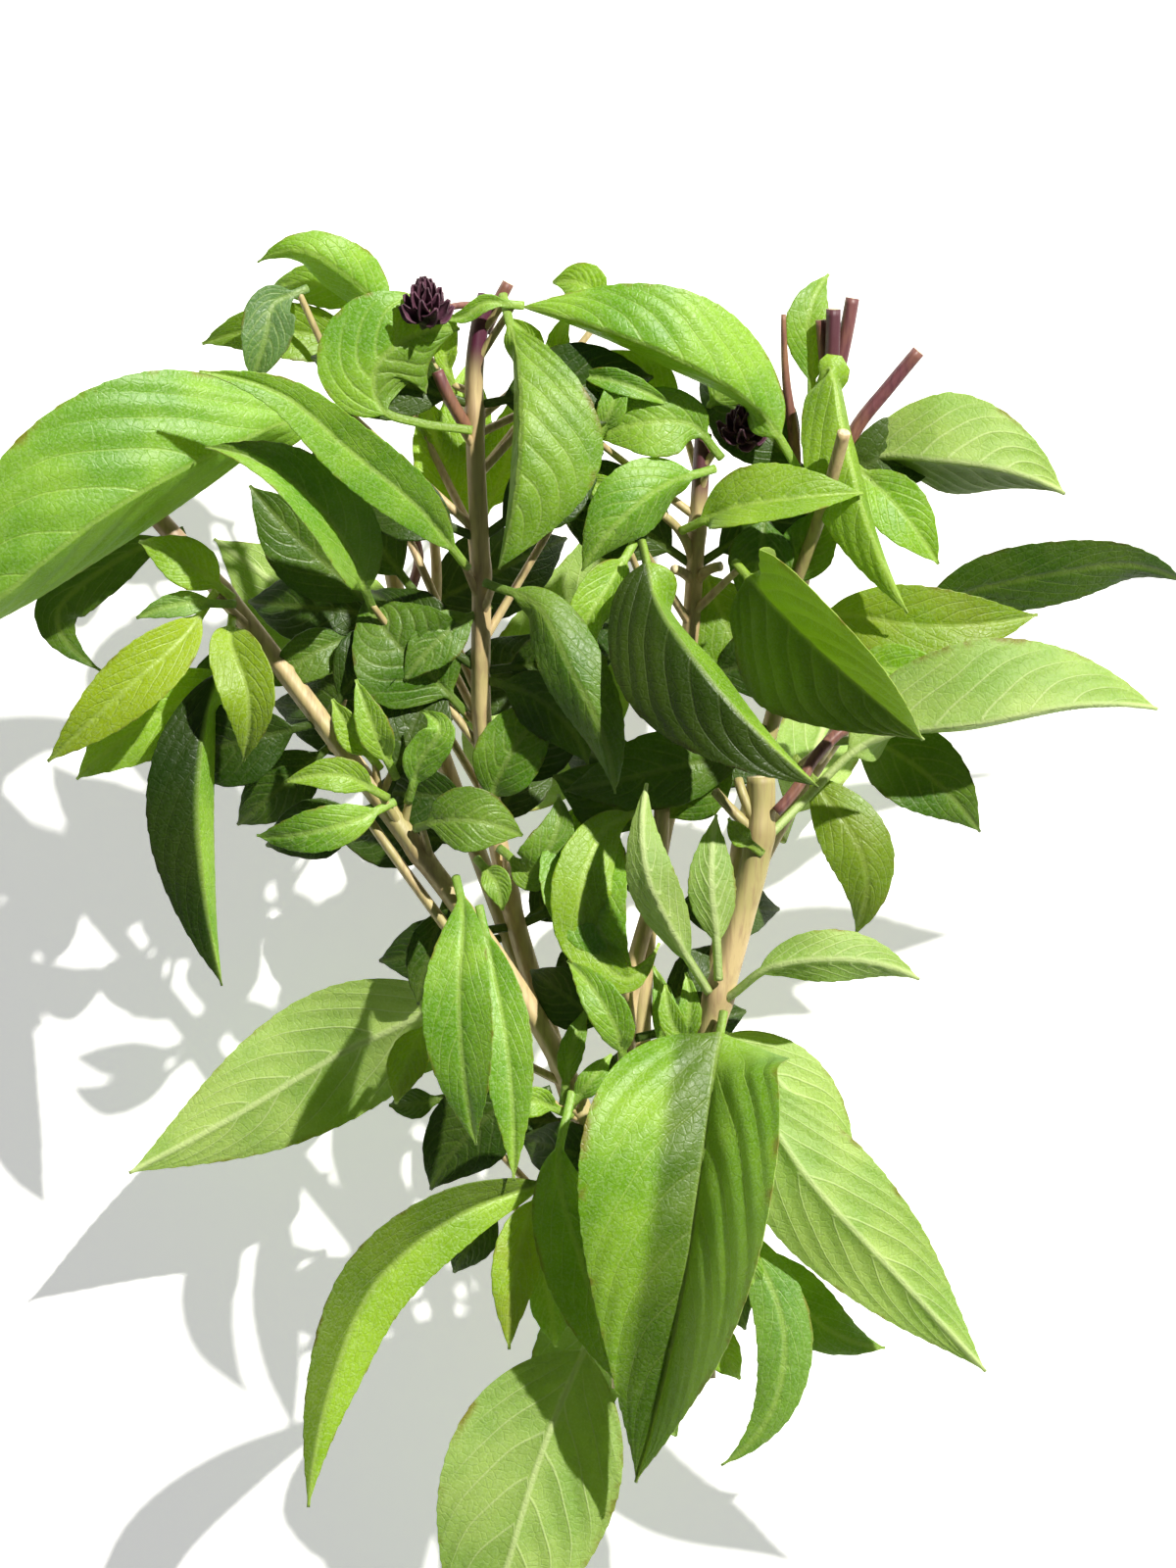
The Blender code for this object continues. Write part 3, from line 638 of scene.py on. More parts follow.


# dark and shade are painted shade on leaves and halves that lie in shadow; the reach of big_front_leaf paints
# a shadow band beside its midrib. yellow and bronze are the leaves' own colours.
TINTS_AND_PAINTED_SHADE = {
    "left_yellow_leaf": TintAndPaintedShade(dark=0.12, yellow=0.85),
    "round_leaf": TintAndPaintedShade(shade=(0.0, 0.3)),
    "centre_top_leaf": TintAndPaintedShade(dark=0.12, yellow=0.1),
    "big_front_leaf": TintAndPaintedShade(yellow=0.1, shade=(0.15, 0.6), reach=7.0),
    "left_small_bright_leaf": TintAndPaintedShade(dark=0.1, yellow=0.6),
    "left_green_leaf": TintAndPaintedShade(yellow=0.15),
    "left_hanging_leaf": TintAndPaintedShade(shade=(0.0, 1.0)),
    "centre_hanging_leaf": TintAndPaintedShade(dark=0.45),
    "arched_leaf": TintAndPaintedShade(shade=(0.0, 0.4)),
    "left_pointed_leaf": TintAndPaintedShade(dark=0.3, yellow=0.3),
    "big_left_leaf": TintAndPaintedShade(grey=0.15),
    "right_bronze_leaf": TintAndPaintedShade(dark=0.25, yellow=0.45, bronze=0.25),
    "bright_folded_leaf": TintAndPaintedShade(yellow=0.35, shade=(0.0, 0.4)),
    "centre_folded_leaf": TintAndPaintedShade(yellow=0.2, shade=(0.0, 0.95)),
    "right_centre_leaf": TintAndPaintedShade(yellow=0.3),
    "right_folded_leaf": TintAndPaintedShade(yellow=0.25),
    "far_right_leaf": TintAndPaintedShade(dark=0.75),
    "right_dark_leaf": TintAndPaintedShade(dark=0.6),
    "right_top_leaf": TintAndPaintedShade(shade=(0.6, 0.0)),
    "centre_dark_leaf": TintAndPaintedShade(dark=0.6),
    "left_centre_round_leaf": TintAndPaintedShade(dark=0.5),
    "lower_left_curved_leaf": TintAndPaintedShade(yellow=0.3, shade=(0.0, 0.6)),
    "right_hanging_leaf": TintAndPaintedShade(dark=0.35, yellow=0.3, bronze=0.25),
    "grey_green_leaf": TintAndPaintedShade(grey=0.35),
    "bottom_leaf": TintAndPaintedShade(grey=0.12),
}


def tinted_with_painted_shade(shell, tint_and_shade):
    """The shell with the numbers for its colours and its painted shade added to its values."""
    whole = np.ones(shell.points.shape[:2])
    values = dict(shell.values)
    # painted shade on one half of the blade, faded out at reach from the midrib
    half = smoothstep(-0.4, 0.4, values["across"])
    within = 1 - smoothstep(tint_and_shade.reach - 1.5, tint_and_shade.reach + 1.5, np.abs(values["across"]))
    shade = within * (tint_and_shade.shade[0] * (1 - half) + tint_and_shade.shade[1] * half)
    values["dark"] = whole * np.clip(tint_and_shade.dark + shade, 0, 1)
    for key in ("yellow", "grey", "bronze"):
        values[key] = whole * getattr(tint_and_shade, key)
    return shell._replace(values=values)


for name, leaf in LEAVES.items():
    shell = tinted_with_painted_shade(leaf_shell(leaf), TINTS_AND_PAINTED_SHADE.get(name, TintAndPaintedShade()))
    blade = add_mesh(name + "_blade", [shell], [upper_skin, under_skin])
    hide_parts(name)
print(len(LEAVES), "leaves")


# %% Stems
class Stem(NamedTuple):
    """One stem: its centre line from the leafy end to the cut end, and its diameters there."""

    path: list
    top: float
    foot: float


STEMS = {
    "left_stem": Stem(
        [(-73, 112, 54), (-60, 97, 53), (-47, 80, 52), (-30, 57, 51), (-16, 38, 50),
         (-5, 20, 48), (2, 2, 47), (5, -16, 46), (6, -36, 46)], 3.2, 3.8),
    "left_centre_stem": Stem(
        [(-17, 149, 58), (-19, 138, 58), (-19, 126, 57), (-18, 101, 55), (-18, 78, 50),
         (-14, 50, 43), (-6, 22, 39), (1, 0, 38), (4, -16, 38), (5, -34, 38)], 3.0, 3.6),
    "right_stem": Stem(
        [(29, 68, 61), (28.5, 56, 60), (25.5, 44, 59), (21.5, 29, 57), (18, 14, 53),
         (15.5, 0, 49), (15, -16, 47), (15, -38, 46)], 4.6, 5.0),
    "purple_stem": Stem(
        [(19.5, 126, 52), (18.5, 110, 50), (17, 88, 46), (14, 66, 42), (10, 40, 39),
         (9, 15, 38), (9.5, -6, 38), (10, -35, 38)], 2.8, 3.4),
    "centre_stem": Stem(
        [(12.5, 63, 52), (11.5, 50, 51), (7.5, 34, 50), (6.5, 18, 49), (8, 2, 47),
         (10, -14, 46), (10.5, -37, 46)], 2.6, 3.4),
    "right_stub_stem": Stem(
        [(41.5, 147, 52), (41, 134, 50), (38, 112, 46), (34, 88, 40), (28, 64, 38),
         (22, 36, 38), (16, 10, 37), (15, -10, 37.5), (15, -36, 38)], 2.4, 3.6),
    "far_right_stem": Stem(
        [(52, 95, 36), (47, 82, 33), (38, 68, 30), (29, 52, 29), (23, 30, 30), (21, 8, 33),
         (20, -12, 36), (20, -35, 38)], 2.8, 3.6),
    "back_stem": Stem(
        [(-34, 104, 24), (-28, 80, 24), (-18, 52, 25), (-8, 26, 27), (2, 2, 29),
         (8, -16, 30), (10, -34, 30)], 2.8, 3.6),
    "brown_branch": Stem(
        [(31.5, 62, 62.5), (35, 66, 62), (38, 71, 61), (43, 76, 59)], 1.8, 2.0),
    "pink_spike": Stem(
        [(33, 146, 54), (33.5, 135, 52), (35, 124, 49), (34.5, 112, 45)], 0.8, 2.6),
    "brown_stub": Stem(
        [(56, 140, 50), (51, 134, 49), (45.5, 127, 48), (42.5, 120, 47)], 2.2, 2.4),
}
print(len(STEMS), "stems and shoots")

# %% [markdown]
# ## Stems
# A basil stem is square with rounded edges, and a little thicker where a pair of leaves left it.
# Older stems turn from green to straw with fine purple streaks that run along the grain, and
# the young tops are purple. The foot was cut with scissors: it shows a pale pith inside a darker
# rim.

# %% Stem shell
SQUARE = 0.05  # how far the four edges stand out, as a share of the radius
SQUARE_TURN = 0.9  # radians
NODE_BUMP = 0.16
NODE_LENGTH = 2.0  # mm
PURPLE_ENDS = (0.045, 0.085)  # shares of a stem's length at which the purple top starts to fade and is gone


def stem_shell(stem, nodes=(), purple=0.0, step=1.2, ring=28):
    """A stem as rings round its line: radius * (1 + SQUARE cos 4a) * (1 + NODE_BUMP * bump at each node)."""
    length = line_length(stem.path)
    rows = int(length / step)
    shares = np.linspace(0, 1, rows + 1)
    line = smooth_line(stem.path, shares)
    forward = unit(np.gradient(line, axis=0))
    upward = unit(np.array([0.0, 0.0, 1.0]) - forward[:, 2:3] * forward)
    side = np.cross(forward, upward)
    angle = np.pi - 2 * np.pi * np.arange(ring) / ring
    places = np.array(nodes, dtype=float).reshape(1, -1)
    bumps = np.exp(-(((shares[:, None] - places) * length / NODE_LENGTH) ** 2)).sum(axis=1)
    radius = (stem.top + (stem.foot - stem.top) * shares) / 2
    square = 1 + SQUARE * np.cos(4 * angle + SQUARE_TURN)
    reach = radius[:, None] * square * (1 + NODE_BUMP * bumps[:, None])
    ring_points = np.cos(angle)[:, None] * side[:, None] + np.sin(angle)[:, None] * upward[:, None]
    points = line[:, None] + reach[..., None] * ring_points
    whole = np.ones((rows + 1, ring))
    values = {
        "node": whole * bumps[:, None],
        "purple": whole * purple * (1 - smoothstep(*PURPLE_ENDS, shares[:, None])),
    }
    return Shell(points, values, 0)


trial = stem_shell(Stem([(0, 0, 0), (0, 10, 0), (0, 20, 0)], 4, 4))
print("a 20 mm stem has", trial.points.shape[0], "rings of", trial.points.shape[1], "points")


# %% Stem materials
def stem_material(name, young, old, streak, streaks):
    """Green to straw along the stem, with streaks of anthocyanin along the grain."""
    material, tree, shader, place = new_material(name)
    grain = add_node(tree, "ShaderNodeMapping", {"Vector": place, "Scale": (1.0, 0.09, 1.0)}).outputs[0]
    fibre = noise_of(tree, grain, 0.9, 3.0)
    cloud = scaled(tree, noise_of(tree, place, 22.0), 0.38, 0.62)
    skin = blend_colours(tree, cloud, linear(young), linear(old))
    skin = blend_colours(tree, scaled(tree, fibre, 0.45, 0.68, 0.0, streaks), skin, linear(streak))
    skin = blend_colours(tree, value_of(tree, "purple"), skin, linear("#4C1A30"))
    scar = scaled(tree, value_of(tree, "node"), 0.3, 1.0, 0.0, 0.25)
    skin = blend_colours(tree, scar, skin, linear("#7B5A3C"))
    tree.links.new(skin, shader.inputs["Base Color"])
    tree.links.new(scaled(tree, fibre, 0.3, 0.7, 0.42, 0.62), shader.inputs["Roughness"])
    bump = add_node(tree, "ShaderNodeBump", {"Height": fibre, "Strength": 0.5, "Distance": 0.0002})
    tree.links.new(bump.outputs[0], shader.inputs["Normal"])
    return material


def cut_material():
    """A fresh cut: pale pith with open fibres."""
    material, tree, shader, place = new_material("cut_basil_pith")
    pith = scaled(tree, noise_of(tree, place, 0.8, 3.0), 0.35, 0.65)
    colour = blend_colours(tree, pith, linear("#E3D8B4"), linear("#B9A478"))
    tree.links.new(colour, shader.inputs["Base Color"])
    shader.inputs["Roughness"].default_value = 0.8
    return material


stem_skin = stem_material("basil_stem_skin", "#A09860", "#C0AA7C", "#84654E", 0.5)
shoot_skin = stem_material("purple_shoot_skin", "#6E4046", "#8A6448", "#4A1E2A", 0.6)
cut_pith = cut_material()
print("stem materials:", stem_skin.name, shoot_skin.name, cut_pith.name)

# %% Stems in place
STEM_NODES = {
    "left_stem": (0.10, 0.42, 0.78),
    "left_centre_stem": (0.11, 0.25, 0.55),
    "right_stem": (0.09, 0.35, 0.75),
    "purple_stem": (0.1, 0.4, 0.7),
    "centre_stem": (0.3, 0.7),
    "right_stub_stem": (0.07, 0.2, 0.5),
    "far_right_stem": (0.15, 0.6),
    "back_stem": (0.2, 0.6),
}
PURPLE = {"left_centre_stem": 1.0, "purple_stem": 0.95, "right_stub_stem": 0.95, "left_stem": 0.5}
SHOOTS = ("brown_branch", "pink_spike", "brown_stub")

for name, stem in STEMS.items():
    skin = shoot_skin if name in SHOOTS else stem_skin
    shell = stem_shell(stem, STEM_NODES.get(name, ()), PURPLE.get(name, 0.0))
    piece = add_mesh(name + "_skin", [shell], [skin, cut_pith])
    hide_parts(name)
print(len(STEMS), "stems and shoots")

# %% [markdown]
# ## Twigs and stubs
# Some side shoots were picked off, so short stubs are left at the nodes, purple near the tops and
# pale lower down. Every leaf stalk also has to reach a stem. Where one starts away from all
# stems, a thin twig runs from it back and down to the nearest one.

# %% Twigs
PURPLE_TWIGS = [
    Stem([(39.5, 145.3, 50), (40, 140, 49), (40.8, 134, 47)], 1.9, 2.1),
    Stem([(44.8, 149, 50), (43.5, 142, 49), (41.6, 134, 47)], 2.3, 2.6),
    Stem([(-13.4, 151, 58), (-15, 148, 57.5), (-17.5, 143, 56)], 2.0, 2.4),
    Stem([(-27, 145, 67), (-22, 146.8, 63), (-17.5, 147, 58)], 1.0, 1.3),
    Stem([(-25.3, 136, 61), (-23, 131, 60), (-19.5, 125.5, 57)], 2.0, 2.2),
    Stem([(-31, 112, 40), (-29, 106, 38), (-31, 98, 33), (-32, 90, 26)], 1.6, 2.0),
]
PALE_TWIGS = [
    Stem([(42.8, 125.5, 66), (41.2, 119, 61.5), (38.5, 110, 55), (35.2, 101, 49)], 2.2, 2.1),
    Stem([(22.5, 103.5, 53), (20.5, 103, 51.5), (18.4, 101, 48.5)], 1.6, 1.8),
    Stem([(14.5, 103, 53), (16, 102.5, 51), (17.8, 101, 48.5)], 1.6, 1.8),
    Stem([(12.8, 112, 54), (15.5, 109.5, 52), (17.8, 104, 49)], 1.4, 1.7),
    Stem([(21.3, 65.5, 60), (23.5, 63, 61), (27.6, 59, 60.5)], 1.6, 1.9),
    Stem([(25.2, 67.5, 60), (26, 65, 61), (28.2, 60, 60.5)], 1.6, 1.9),
    Stem([(-38, 62, 50), (-31, 52, 50), (-27, 46.5, 49.5), (-20, 37, 48.5)], 1.6, 1.9),
    Stem([(-27, 113, 38), (-26, 104, 36), (-28, 90, 25)], 1.6, 2.0),
]
TWIG_SIZES = (1.1, 1.5)  # mm across, at the leaf and at the stem
TWIG_SLANT = (0.2, 0.9)
TWIG_SAG = 0.12
NEAR_ENOUGH = 2.6  # mm from a stem's centre line
LINE_STEPS = 80  # points along each stem that a twig may join
line_shares = np.linspace(0, 1, LINE_STEPS)
STEM_LINES = np.concatenate([smooth_line(stem.path, line_shares) for stem in STEMS.values()])
LINE_ENDS = np.repeat(np.arange(1, len(STEMS) + 1) * LINE_STEPS - 1, LINE_STEPS)


def twig_to_stem(root):
    """A twig from a leaf's root to the nearest stem, or None where the root is on a stem.

    It joins the stem some steps further down, TWIG_SLANT of the gap in mm, and sags in its middle.
    """
    gaps = np.linalg.norm(STEM_LINES - root, axis=1)
    nearest = int(np.argmin(gaps))
    gap = gaps[nearest]
    if gap < NEAR_ENOUGH:
        return None
    joint = min(nearest + int(gap * growth.uniform(*TWIG_SLANT)), LINE_ENDS[nearest])
    foot = STEM_LINES[joint]
    middle = (foot + root) / 2 - np.array([0, 0, TWIG_SAG * gap])
    return Stem([tuple(root), tuple(middle), tuple(foot)], *TWIG_SIZES)


def leaf_twigs(leaves):
    """The twigs of all those leaves that start away from every stem."""
    roots = [np.array(leaf.path[0], dtype=float) for leaf in leaves]
    return [twig for twig in map(twig_to_stem, roots) if twig]


def grow_twigs(name, twigs, skin):
    """One piece with all the given twigs."""
    shells = [stem_shell(twig, step=1.0, ring=12) for twig in twigs]
    add_mesh(name, shells, [skin, cut_pith])


grow_twigs("purple_twigs", PURPLE_TWIGS, shoot_skin)
grow_twigs("pale_twigs", PALE_TWIGS, stem_skin)
twigs = leaf_twigs(LEAVES.values())
grow_twigs("leaf_twigs", twigs, stem_skin)
print(len(twigs), "of", len(LEAVES), "leaves hang on a twig")

# %% [markdown]
# ## Young leaves
# Between the large leaves sit many small ones: pairs of young leaves in the axils, tips of new
# shoots, and leaves that only peep out from behind. They are too small to be solids of their own,
# so all that grow on one stem make one piece.

# %% One young leaf
def young(path, width, fold=(5, 5), cup=0, stalk=2, **tint_and_shade):
    """A young leaf with its colour numbers and painted shade: it is unturned, and nearly flat on a short
    stalk unless said.
    """
    return Leaf(path, width, 0, fold, cup, stalk), TintAndPaintedShade(**tint_and_shade)


print("a young leaf:", young([(0, 0, 0), (0, 6, 1), (0, 12, 0)], 5, dark=0.2))

# %% Young leaves, stem by stem
# dark on a young leaf is painted shade, where it lies in the shade of larger leaves
YOUNG_LEAVES = {
    "left_shoot_leaves": [
        young([(-36, 147, 42), (-42, 151, 44), (-48, 152, 44), (-54, 151.5, 40)], 7.6, (8, 8), dark=0.2),
        young([(-49, 150, 50), (-53, 148, 52), (-54.5, 142, 53), (-57, 134.5, 50)], 9, (10, 10),
              cup=5, stalk=1, dark=0.2, grey=0.8),
        young([(-12.5, 147, 63), (-17, 147.3, 64), (-21, 145, 63), (-24.5, 144.8, 62)], 3, (20, 20), stalk=1),
        young([(-23, 134, 56), (-24, 139, 58), (-22, 146, 57)], 4.2, (20, 20), yellow=0.3),
    ],
    "left_stem_leaves": [
        young([(-61, 99, 57), (-66, 103, 61), (-75.5, 107.5, 59)], 8.4, (15, 15), yellow=0.3),
        young([(-60, 93, 48), (-63, 82, 47), (-67, 69, 42)], 10.1, dark=0.8),
        young([(-70, 109, 50), (-79, 105, 50), (-90, 95, 48), (-83, 86, 42)], 9.2, (-20, 10), dark=0.7),
        young([(-61, 97, 58), (-68, 97, 60), (-76, 94.6, 58)], 4.2, (10, 10), grey=0.5),
        young([(-36, 96, 50), (-41, 101, 53), (-49, 108, 56), (-57, 117, 57)], 14.3, stalk=3, dark=0.7),
        young([(-30, 100, 46), (-36, 108, 49), (-42, 118, 51), (-45, 128, 50)], 14.3, stalk=3, dark=0.7),
        young([(-39, 92, 50), (-46, 89, 53), (-54, 83, 51)], 8.4, (5, 15), dark=0.6),
        young([(-36, 70.5, 54), (-39.5, 75, 58), (-43, 81, 59)], 5.5, (20, 20), yellow=0.35),
        young([(-33, 69, 54), (-36, 76, 59), (-39, 84.3, 59)], 5.9, (20, 20), yellow=0.2),
        young([(-30, 65, 54), (-28, 71, 58), (-25, 76, 60), (-28, 79, 57)], 6.7, (20, 5), cup=10),
        young([(-35, 65, 57), (-40, 67.8, 61), (-51, 67, 60)], 5.9, (15, 10), yellow=0.25),
        young([(-44, 73, 44), (-50, 68, 44), (-60, 59.7, 38)], 10.9, dark=0.8),
        young([(-28, 59.5, 55), (-25, 60.5, 58), (-19, 60.5, 60), (-11, 58, 56)], 10.9, (0, 0),
              cup=5, dark=0.4),
        young([(-24, 47, 44), (-27, 38, 45), (-29, 29, 42)], 7.6, dark=0.8),
        young([(-26.5, 27, 50), (-30, 21, 52), (-32.5, 12.5, 50)], 6.7, (5, 15), yellow=0.35, bronze=0.3),
        young([(-24, 13, 36), (-29, 12, 36), (-34.2, 11.5, 33)], 5, dark=0.6),
    ],
    "left_centre_stem_leaves": [
        young([(-17, 62, 48), (-15, 68, 52), (-9, 77, 54), (-4, 80, 52)], 11.8, (5, 20), stalk=3, dark=0.3),
        young([(-18, 53, 50), (-15.5, 50, 53), (-14.5, 45.3, 52)], 5, (15, 15), stalk=1, dark=0.2),
        young([(-14, 55, 48), (-10, 52, 52), (-6, 57, 54), (-5, 65, 52)], 8.4, (15, 5), dark=0.3),
        young([(-8, 14, 40), (-14, 12, 40), (-22, 5, 38), (-27, -3, 34)], 14.3, stalk=3, dark=0.9),
        young([(-15, -4, 40), (-19, -10, 41), (-23, -17, 37)], 7.6, dark=0.8),
        young([(-8, -2, 50), (-10.5, -8, 54), (-13.3, -29, 51)], 8.4, (-10, 20), yellow=0.45, bronze=0.35),
        young([(-8, -14, 36), (-6.5, -22, 36), (-5.5, -30, 34)], 6.7, grey=0.3),
        young([(-4, 11, 50), (-9, 13, 54), (-15, 9, 53)], 5, (10, 10), yellow=0.2),
        young([(-3, 12, 50), (0, 16, 53), (4, 21, 52)], 4.2, (10, 10)),
        young([(-4, 14, 49), (-3, 21, 52), (0, 29, 50)], 4.2, (10, 10), dark=0.2),
        young([(-16, 84, 52), (-10, 82, 55), (-3, 76, 55), (0, 70, 52)], 10.1, dark=0.6),
        young([(-18, 96, 54), (-24, 92, 56), (-31, 84, 55)], 8.4, dark=0.4),
    ],
    "top_shoot_leaves": [
        young([(3, 147, 46), (0, 151, 48), (-6, 152, 45)], 7.6, (8, 8), yellow=0.2),
        young([(-2, 134, 54), (-5, 140, 57), (-3, 146, 55)], 4.2, (20, 20), yellow=0.2),
        young([(-8, 137, 54), (-10, 142, 57), (-13, 145, 56)], 4.2, (20, 20), yellow=0.2),
        young([(-3, 136, 57), (4, 134.5, 60), (14, 130.5, 57)], 4.2, (20, 20)),
        young([(1.5, 124.5, 57), (4, 130, 60), (5, 136, 58)], 5, (20, 20)),
        young([(21.5, 123, 54), (18, 127, 56), (10, 127.5, 58), (1, 125, 54)], 11.8, (5, 0),
              cup=5, stalk=3, dark=0.1),
        young([(-1, 119, 54), (2, 117, 55), (6, 113, 54)], 4.2, (10, 10), stalk=1, yellow=0.3),
        young([(7, 106, 56), (3.5, 100, 60), (0, 94, 61), (1.5, 89, 57)], 8.4, (30, 10), cup=20, yellow=0.15),
        young([(16, 128, 48), (10, 134, 50), (2, 140, 50)], 10.1, dark=0.3),
        young([(20, 130, 46), (24, 135, 48), (26, 141, 46)], 8.4, dark=0.2),
        young([(-20, 110, 44), (-24, 120, 46), (-28, 133, 43)], 10, (8, 8), yellow=0.35),
        young([(-20, 118, 42), (-21, 128, 44), (-20, 139, 42)], 9, (8, 8), yellow=0.3),
        young([(-18, 112, 44), (-14, 121, 46), (-12, 134, 43)], 9, (8, 8), yellow=0.2),
    ],
    "right_stem_leaves": [
        young([(34, 99, 48), (37, 106, 51), (42, 114, 50)], 9.2, dark=0.4),
        young([(30, 113, 50), (29, 105, 53), (27, 96, 50)], 10.9, dark=0.5),
        young([(19, 104, 45), (23, 95, 47), (29, 81, 43)], 12, dark=0.35, yellow=0.2),
        young([(38, 132, 47), (38, 138, 47), (37.5, 146, 48), (41, 153.5, 44)], 7.6, stalk=3, dark=0.2),
        young([(45, 121, 48), (52, 114, 51), (59.5, 104, 48)], 10.1, (5, 15), yellow=0.1),
        young([(42, 86, 50), (52, 86, 53), (64, 80.3, 51)], 8.4, yellow=0.2),
        young([(23, -9, 52), (26, -13, 53), (29, -19, 51)], 5),
        young([(24, -10, 40), (34, -20, 42), (42, -27, 40), (51, -30, 35)], 10.9, (-10, -10),
              stalk=3, dark=0.3),
        young([(20, -12, 36), (24, -20, 37), (27, -27, 34)], 7.6, dark=0.7),
        young([(18, -23, 42), (22, -29, 43), (26, -35, 40)], 6.7, yellow=0.2),
        young([(12, -37, 50), (13.5, -41, 50), (15, -44, 48)], 3.4, stalk=1),
        young([(28, 56, 63), (25.5, 58, 65), (23.5, 61, 64)], 3.4, stalk=1, yellow=0.3),
        young([(17, 22, 58), (14, 27, 61), (13, 33, 60)], 4.2, (15, 15), stalk=1, yellow=0.2),
    ],
    "centre_stem_leaves": [
        young([(6, 20, 55), (5, 25, 60), (1, 32, 61), (-3.5, 37, 57)], 6.7, (10, 10), yellow=0.1),
        young([(12, 21, 54), (13, 28, 58), (11, 36, 57)], 4.2, (15, 15)),
        young([(15, 21, 54), (17, 27, 58), (16.5, 35, 57)], 4.2, (15, 15), yellow=0.1),
        young([(9, 62, 50), (4, 60, 54), (-1, 50, 58), (0, 40, 57), (7, 34, 60), (12, 40, 59)], 10.1,
              (-10, 5), yellow=0.35),
        young([(12, 60, 50), (18, 66, 52), (24, 74, 52)], 10.9, dark=0.5),
        young([(10, 58, 48), (3, 64, 50), (-6, 68, 50)], 11.8, dark=0.6),
    ],
}

YOUNG_STEP = 0.75  # mm between the points of a young leaf's grid
for name, rows in YOUNG_LEAVES.items():
    shells = [tinted_with_painted_shade(leaf_shell(leaf, YOUNG_STEP), tint_and_shade) for leaf, tint_and_shade in rows]
    add_mesh(name, shells, [upper_skin, under_skin])
young_ones = [leaf for rows in YOUNG_LEAVES.values() for leaf, _ in rows]
grow_twigs("young_leaf_twigs", leaf_twigs(young_ones), stem_skin)
print(len(young_ones), "young leaves")

# %% [markdown]
# ## Leaves in the shade
# The middle of the bunch is full of leaves that hardly see light. On basil they grow in crossed
# pairs, one pair at each node, a quarter turn from the last. Here a loop walks up each stem and
# grows such pairs, drooping a little, so that the eye meets leaves and not the table.

# %% Crossed pairs along the stems
INNER_STEMS = {  # shares of the stem at which a pair grows
    "back_stem": (0.06, 0.20, 0.34, 0.46, 0.58, 0.70),
    "left_centre_stem": (0.10, 0.22, 0.34, 0.46, 0.58),
    "purple_stem": (0.14, 0.26, 0.38, 0.50, 0.62),
    "right_stub_stem": (0.16,),
    "left_stem": (0.26, 0.36),
    "centre_stem": (0.40, 0.62),
}
INNER_LENGTH = (30.0, 13.0)  # mm, at the leafy end of a stem and at its foot
# painted shade: leaves deep in the bunch are darkened almost to the deep shadow green
INNER_PAINTED_SHADE = TintAndPaintedShade(dark=0.9)
INNER_STEP = 1.0  # mm between the points of a shaded leaf's grid
LOOK_BACK = 0.04  # share of a stem over which its heading is taken


def crossed_pair(start, heading, length):
    """Two opposite leaves at a node: tip = start + length * direction, high in the middle, low at the tip."""
    pair = []
    for hand in (-1, 1):
        turn = heading + hand * np.radians(growth.uniform(50, 85))
        reach = length * growth.uniform(0.85, 1.15)
        way = np.array([np.cos(turn), np.sin(turn), 0.0])
        middle = start + way * reach * 0.5 + np.array([0, 0, 1.0 + growth.uniform(-1, 2)])
        tip = start + way * reach + np.array([0, 0, 1.0 - growth.uniform(4, 9)])
        root = start + way * 2.0
        path = [tuple(root), tuple(middle), tuple(tip)]
        pair.append(Leaf(path, 0.5 * reach, growth.uniform(-15, 15), (8, 8), 0, 3))
    return pair


for stem_name, places in INNER_STEMS.items():
    line = smooth_line(STEMS[stem_name].path, np.array(places))
    ahead = smooth_line(STEMS[stem_name].path, np.array(places) - LOOK_BACK)
    shells = []
    for start, further, share in zip(line, ahead, places):
        heading = np.arctan2(*(further - start)[[1, 0]])
        length = INNER_LENGTH[0] + (INNER_LENGTH[1] - INNER_LENGTH[0]) * share
        pair = crossed_pair(start, heading, length)
        shells += [tinted_with_painted_shade(leaf_shell(leaf, INNER_STEP), INNER_PAINTED_SHADE) for leaf in pair]
    add_mesh(stem_name + "_inner_leaves", shells, [upper_skin, under_skin])
print("inner leaves on", len(INNER_STEMS), "stems")

# %% [markdown]
# ## Flower buds
# A basil bud head is a short spire of small pointed bracts in whorls, dark purple when young. One
# bract is a tiny leaf, and the head repeats it, turned by the golden angle and opening toward
# the foot.

# %% Bud heads
def bract(centre, axis, height, radius, turn, length, width, opening):
    """A bract as a tiny leaf: it leaves the axis at that height and turn, and leans out by opening."""
    axis = unit(np.array(axis, dtype=float))
    first = unit(np.cross(axis, [0.3, 0.2, 1.0]))
    outward = np.cos(turn) * first + np.sin(turn) * np.cross(axis, first)
    root = np.array(centre) + axis * height + outward * radius * 0.3
    lean = np.cos(opening) * axis + np.sin(opening) * outward
    bow = 0.12 * length
    path = [root, root + lean * length * 0.5 + outward * bow, root + lean * length + axis * bow]
    return Leaf([tuple(point) for point in path], width, 0, (35, 35), 20, 0.2, 0.4)


BUD_HEADS = {
    "left_flower_bud": ((-27.0, 143.8, 67.0), (-0.05, 1.0, 0.25), 26),
    "right_flower_bud": ((26.0, 124.5, 49.5), (0.1, 0.8, 0.6), 20),
}
GOLDEN = np.radians(137.5)
BRACT_STEP = 0.9  # mm: coarse, because a head has dozens of bracts


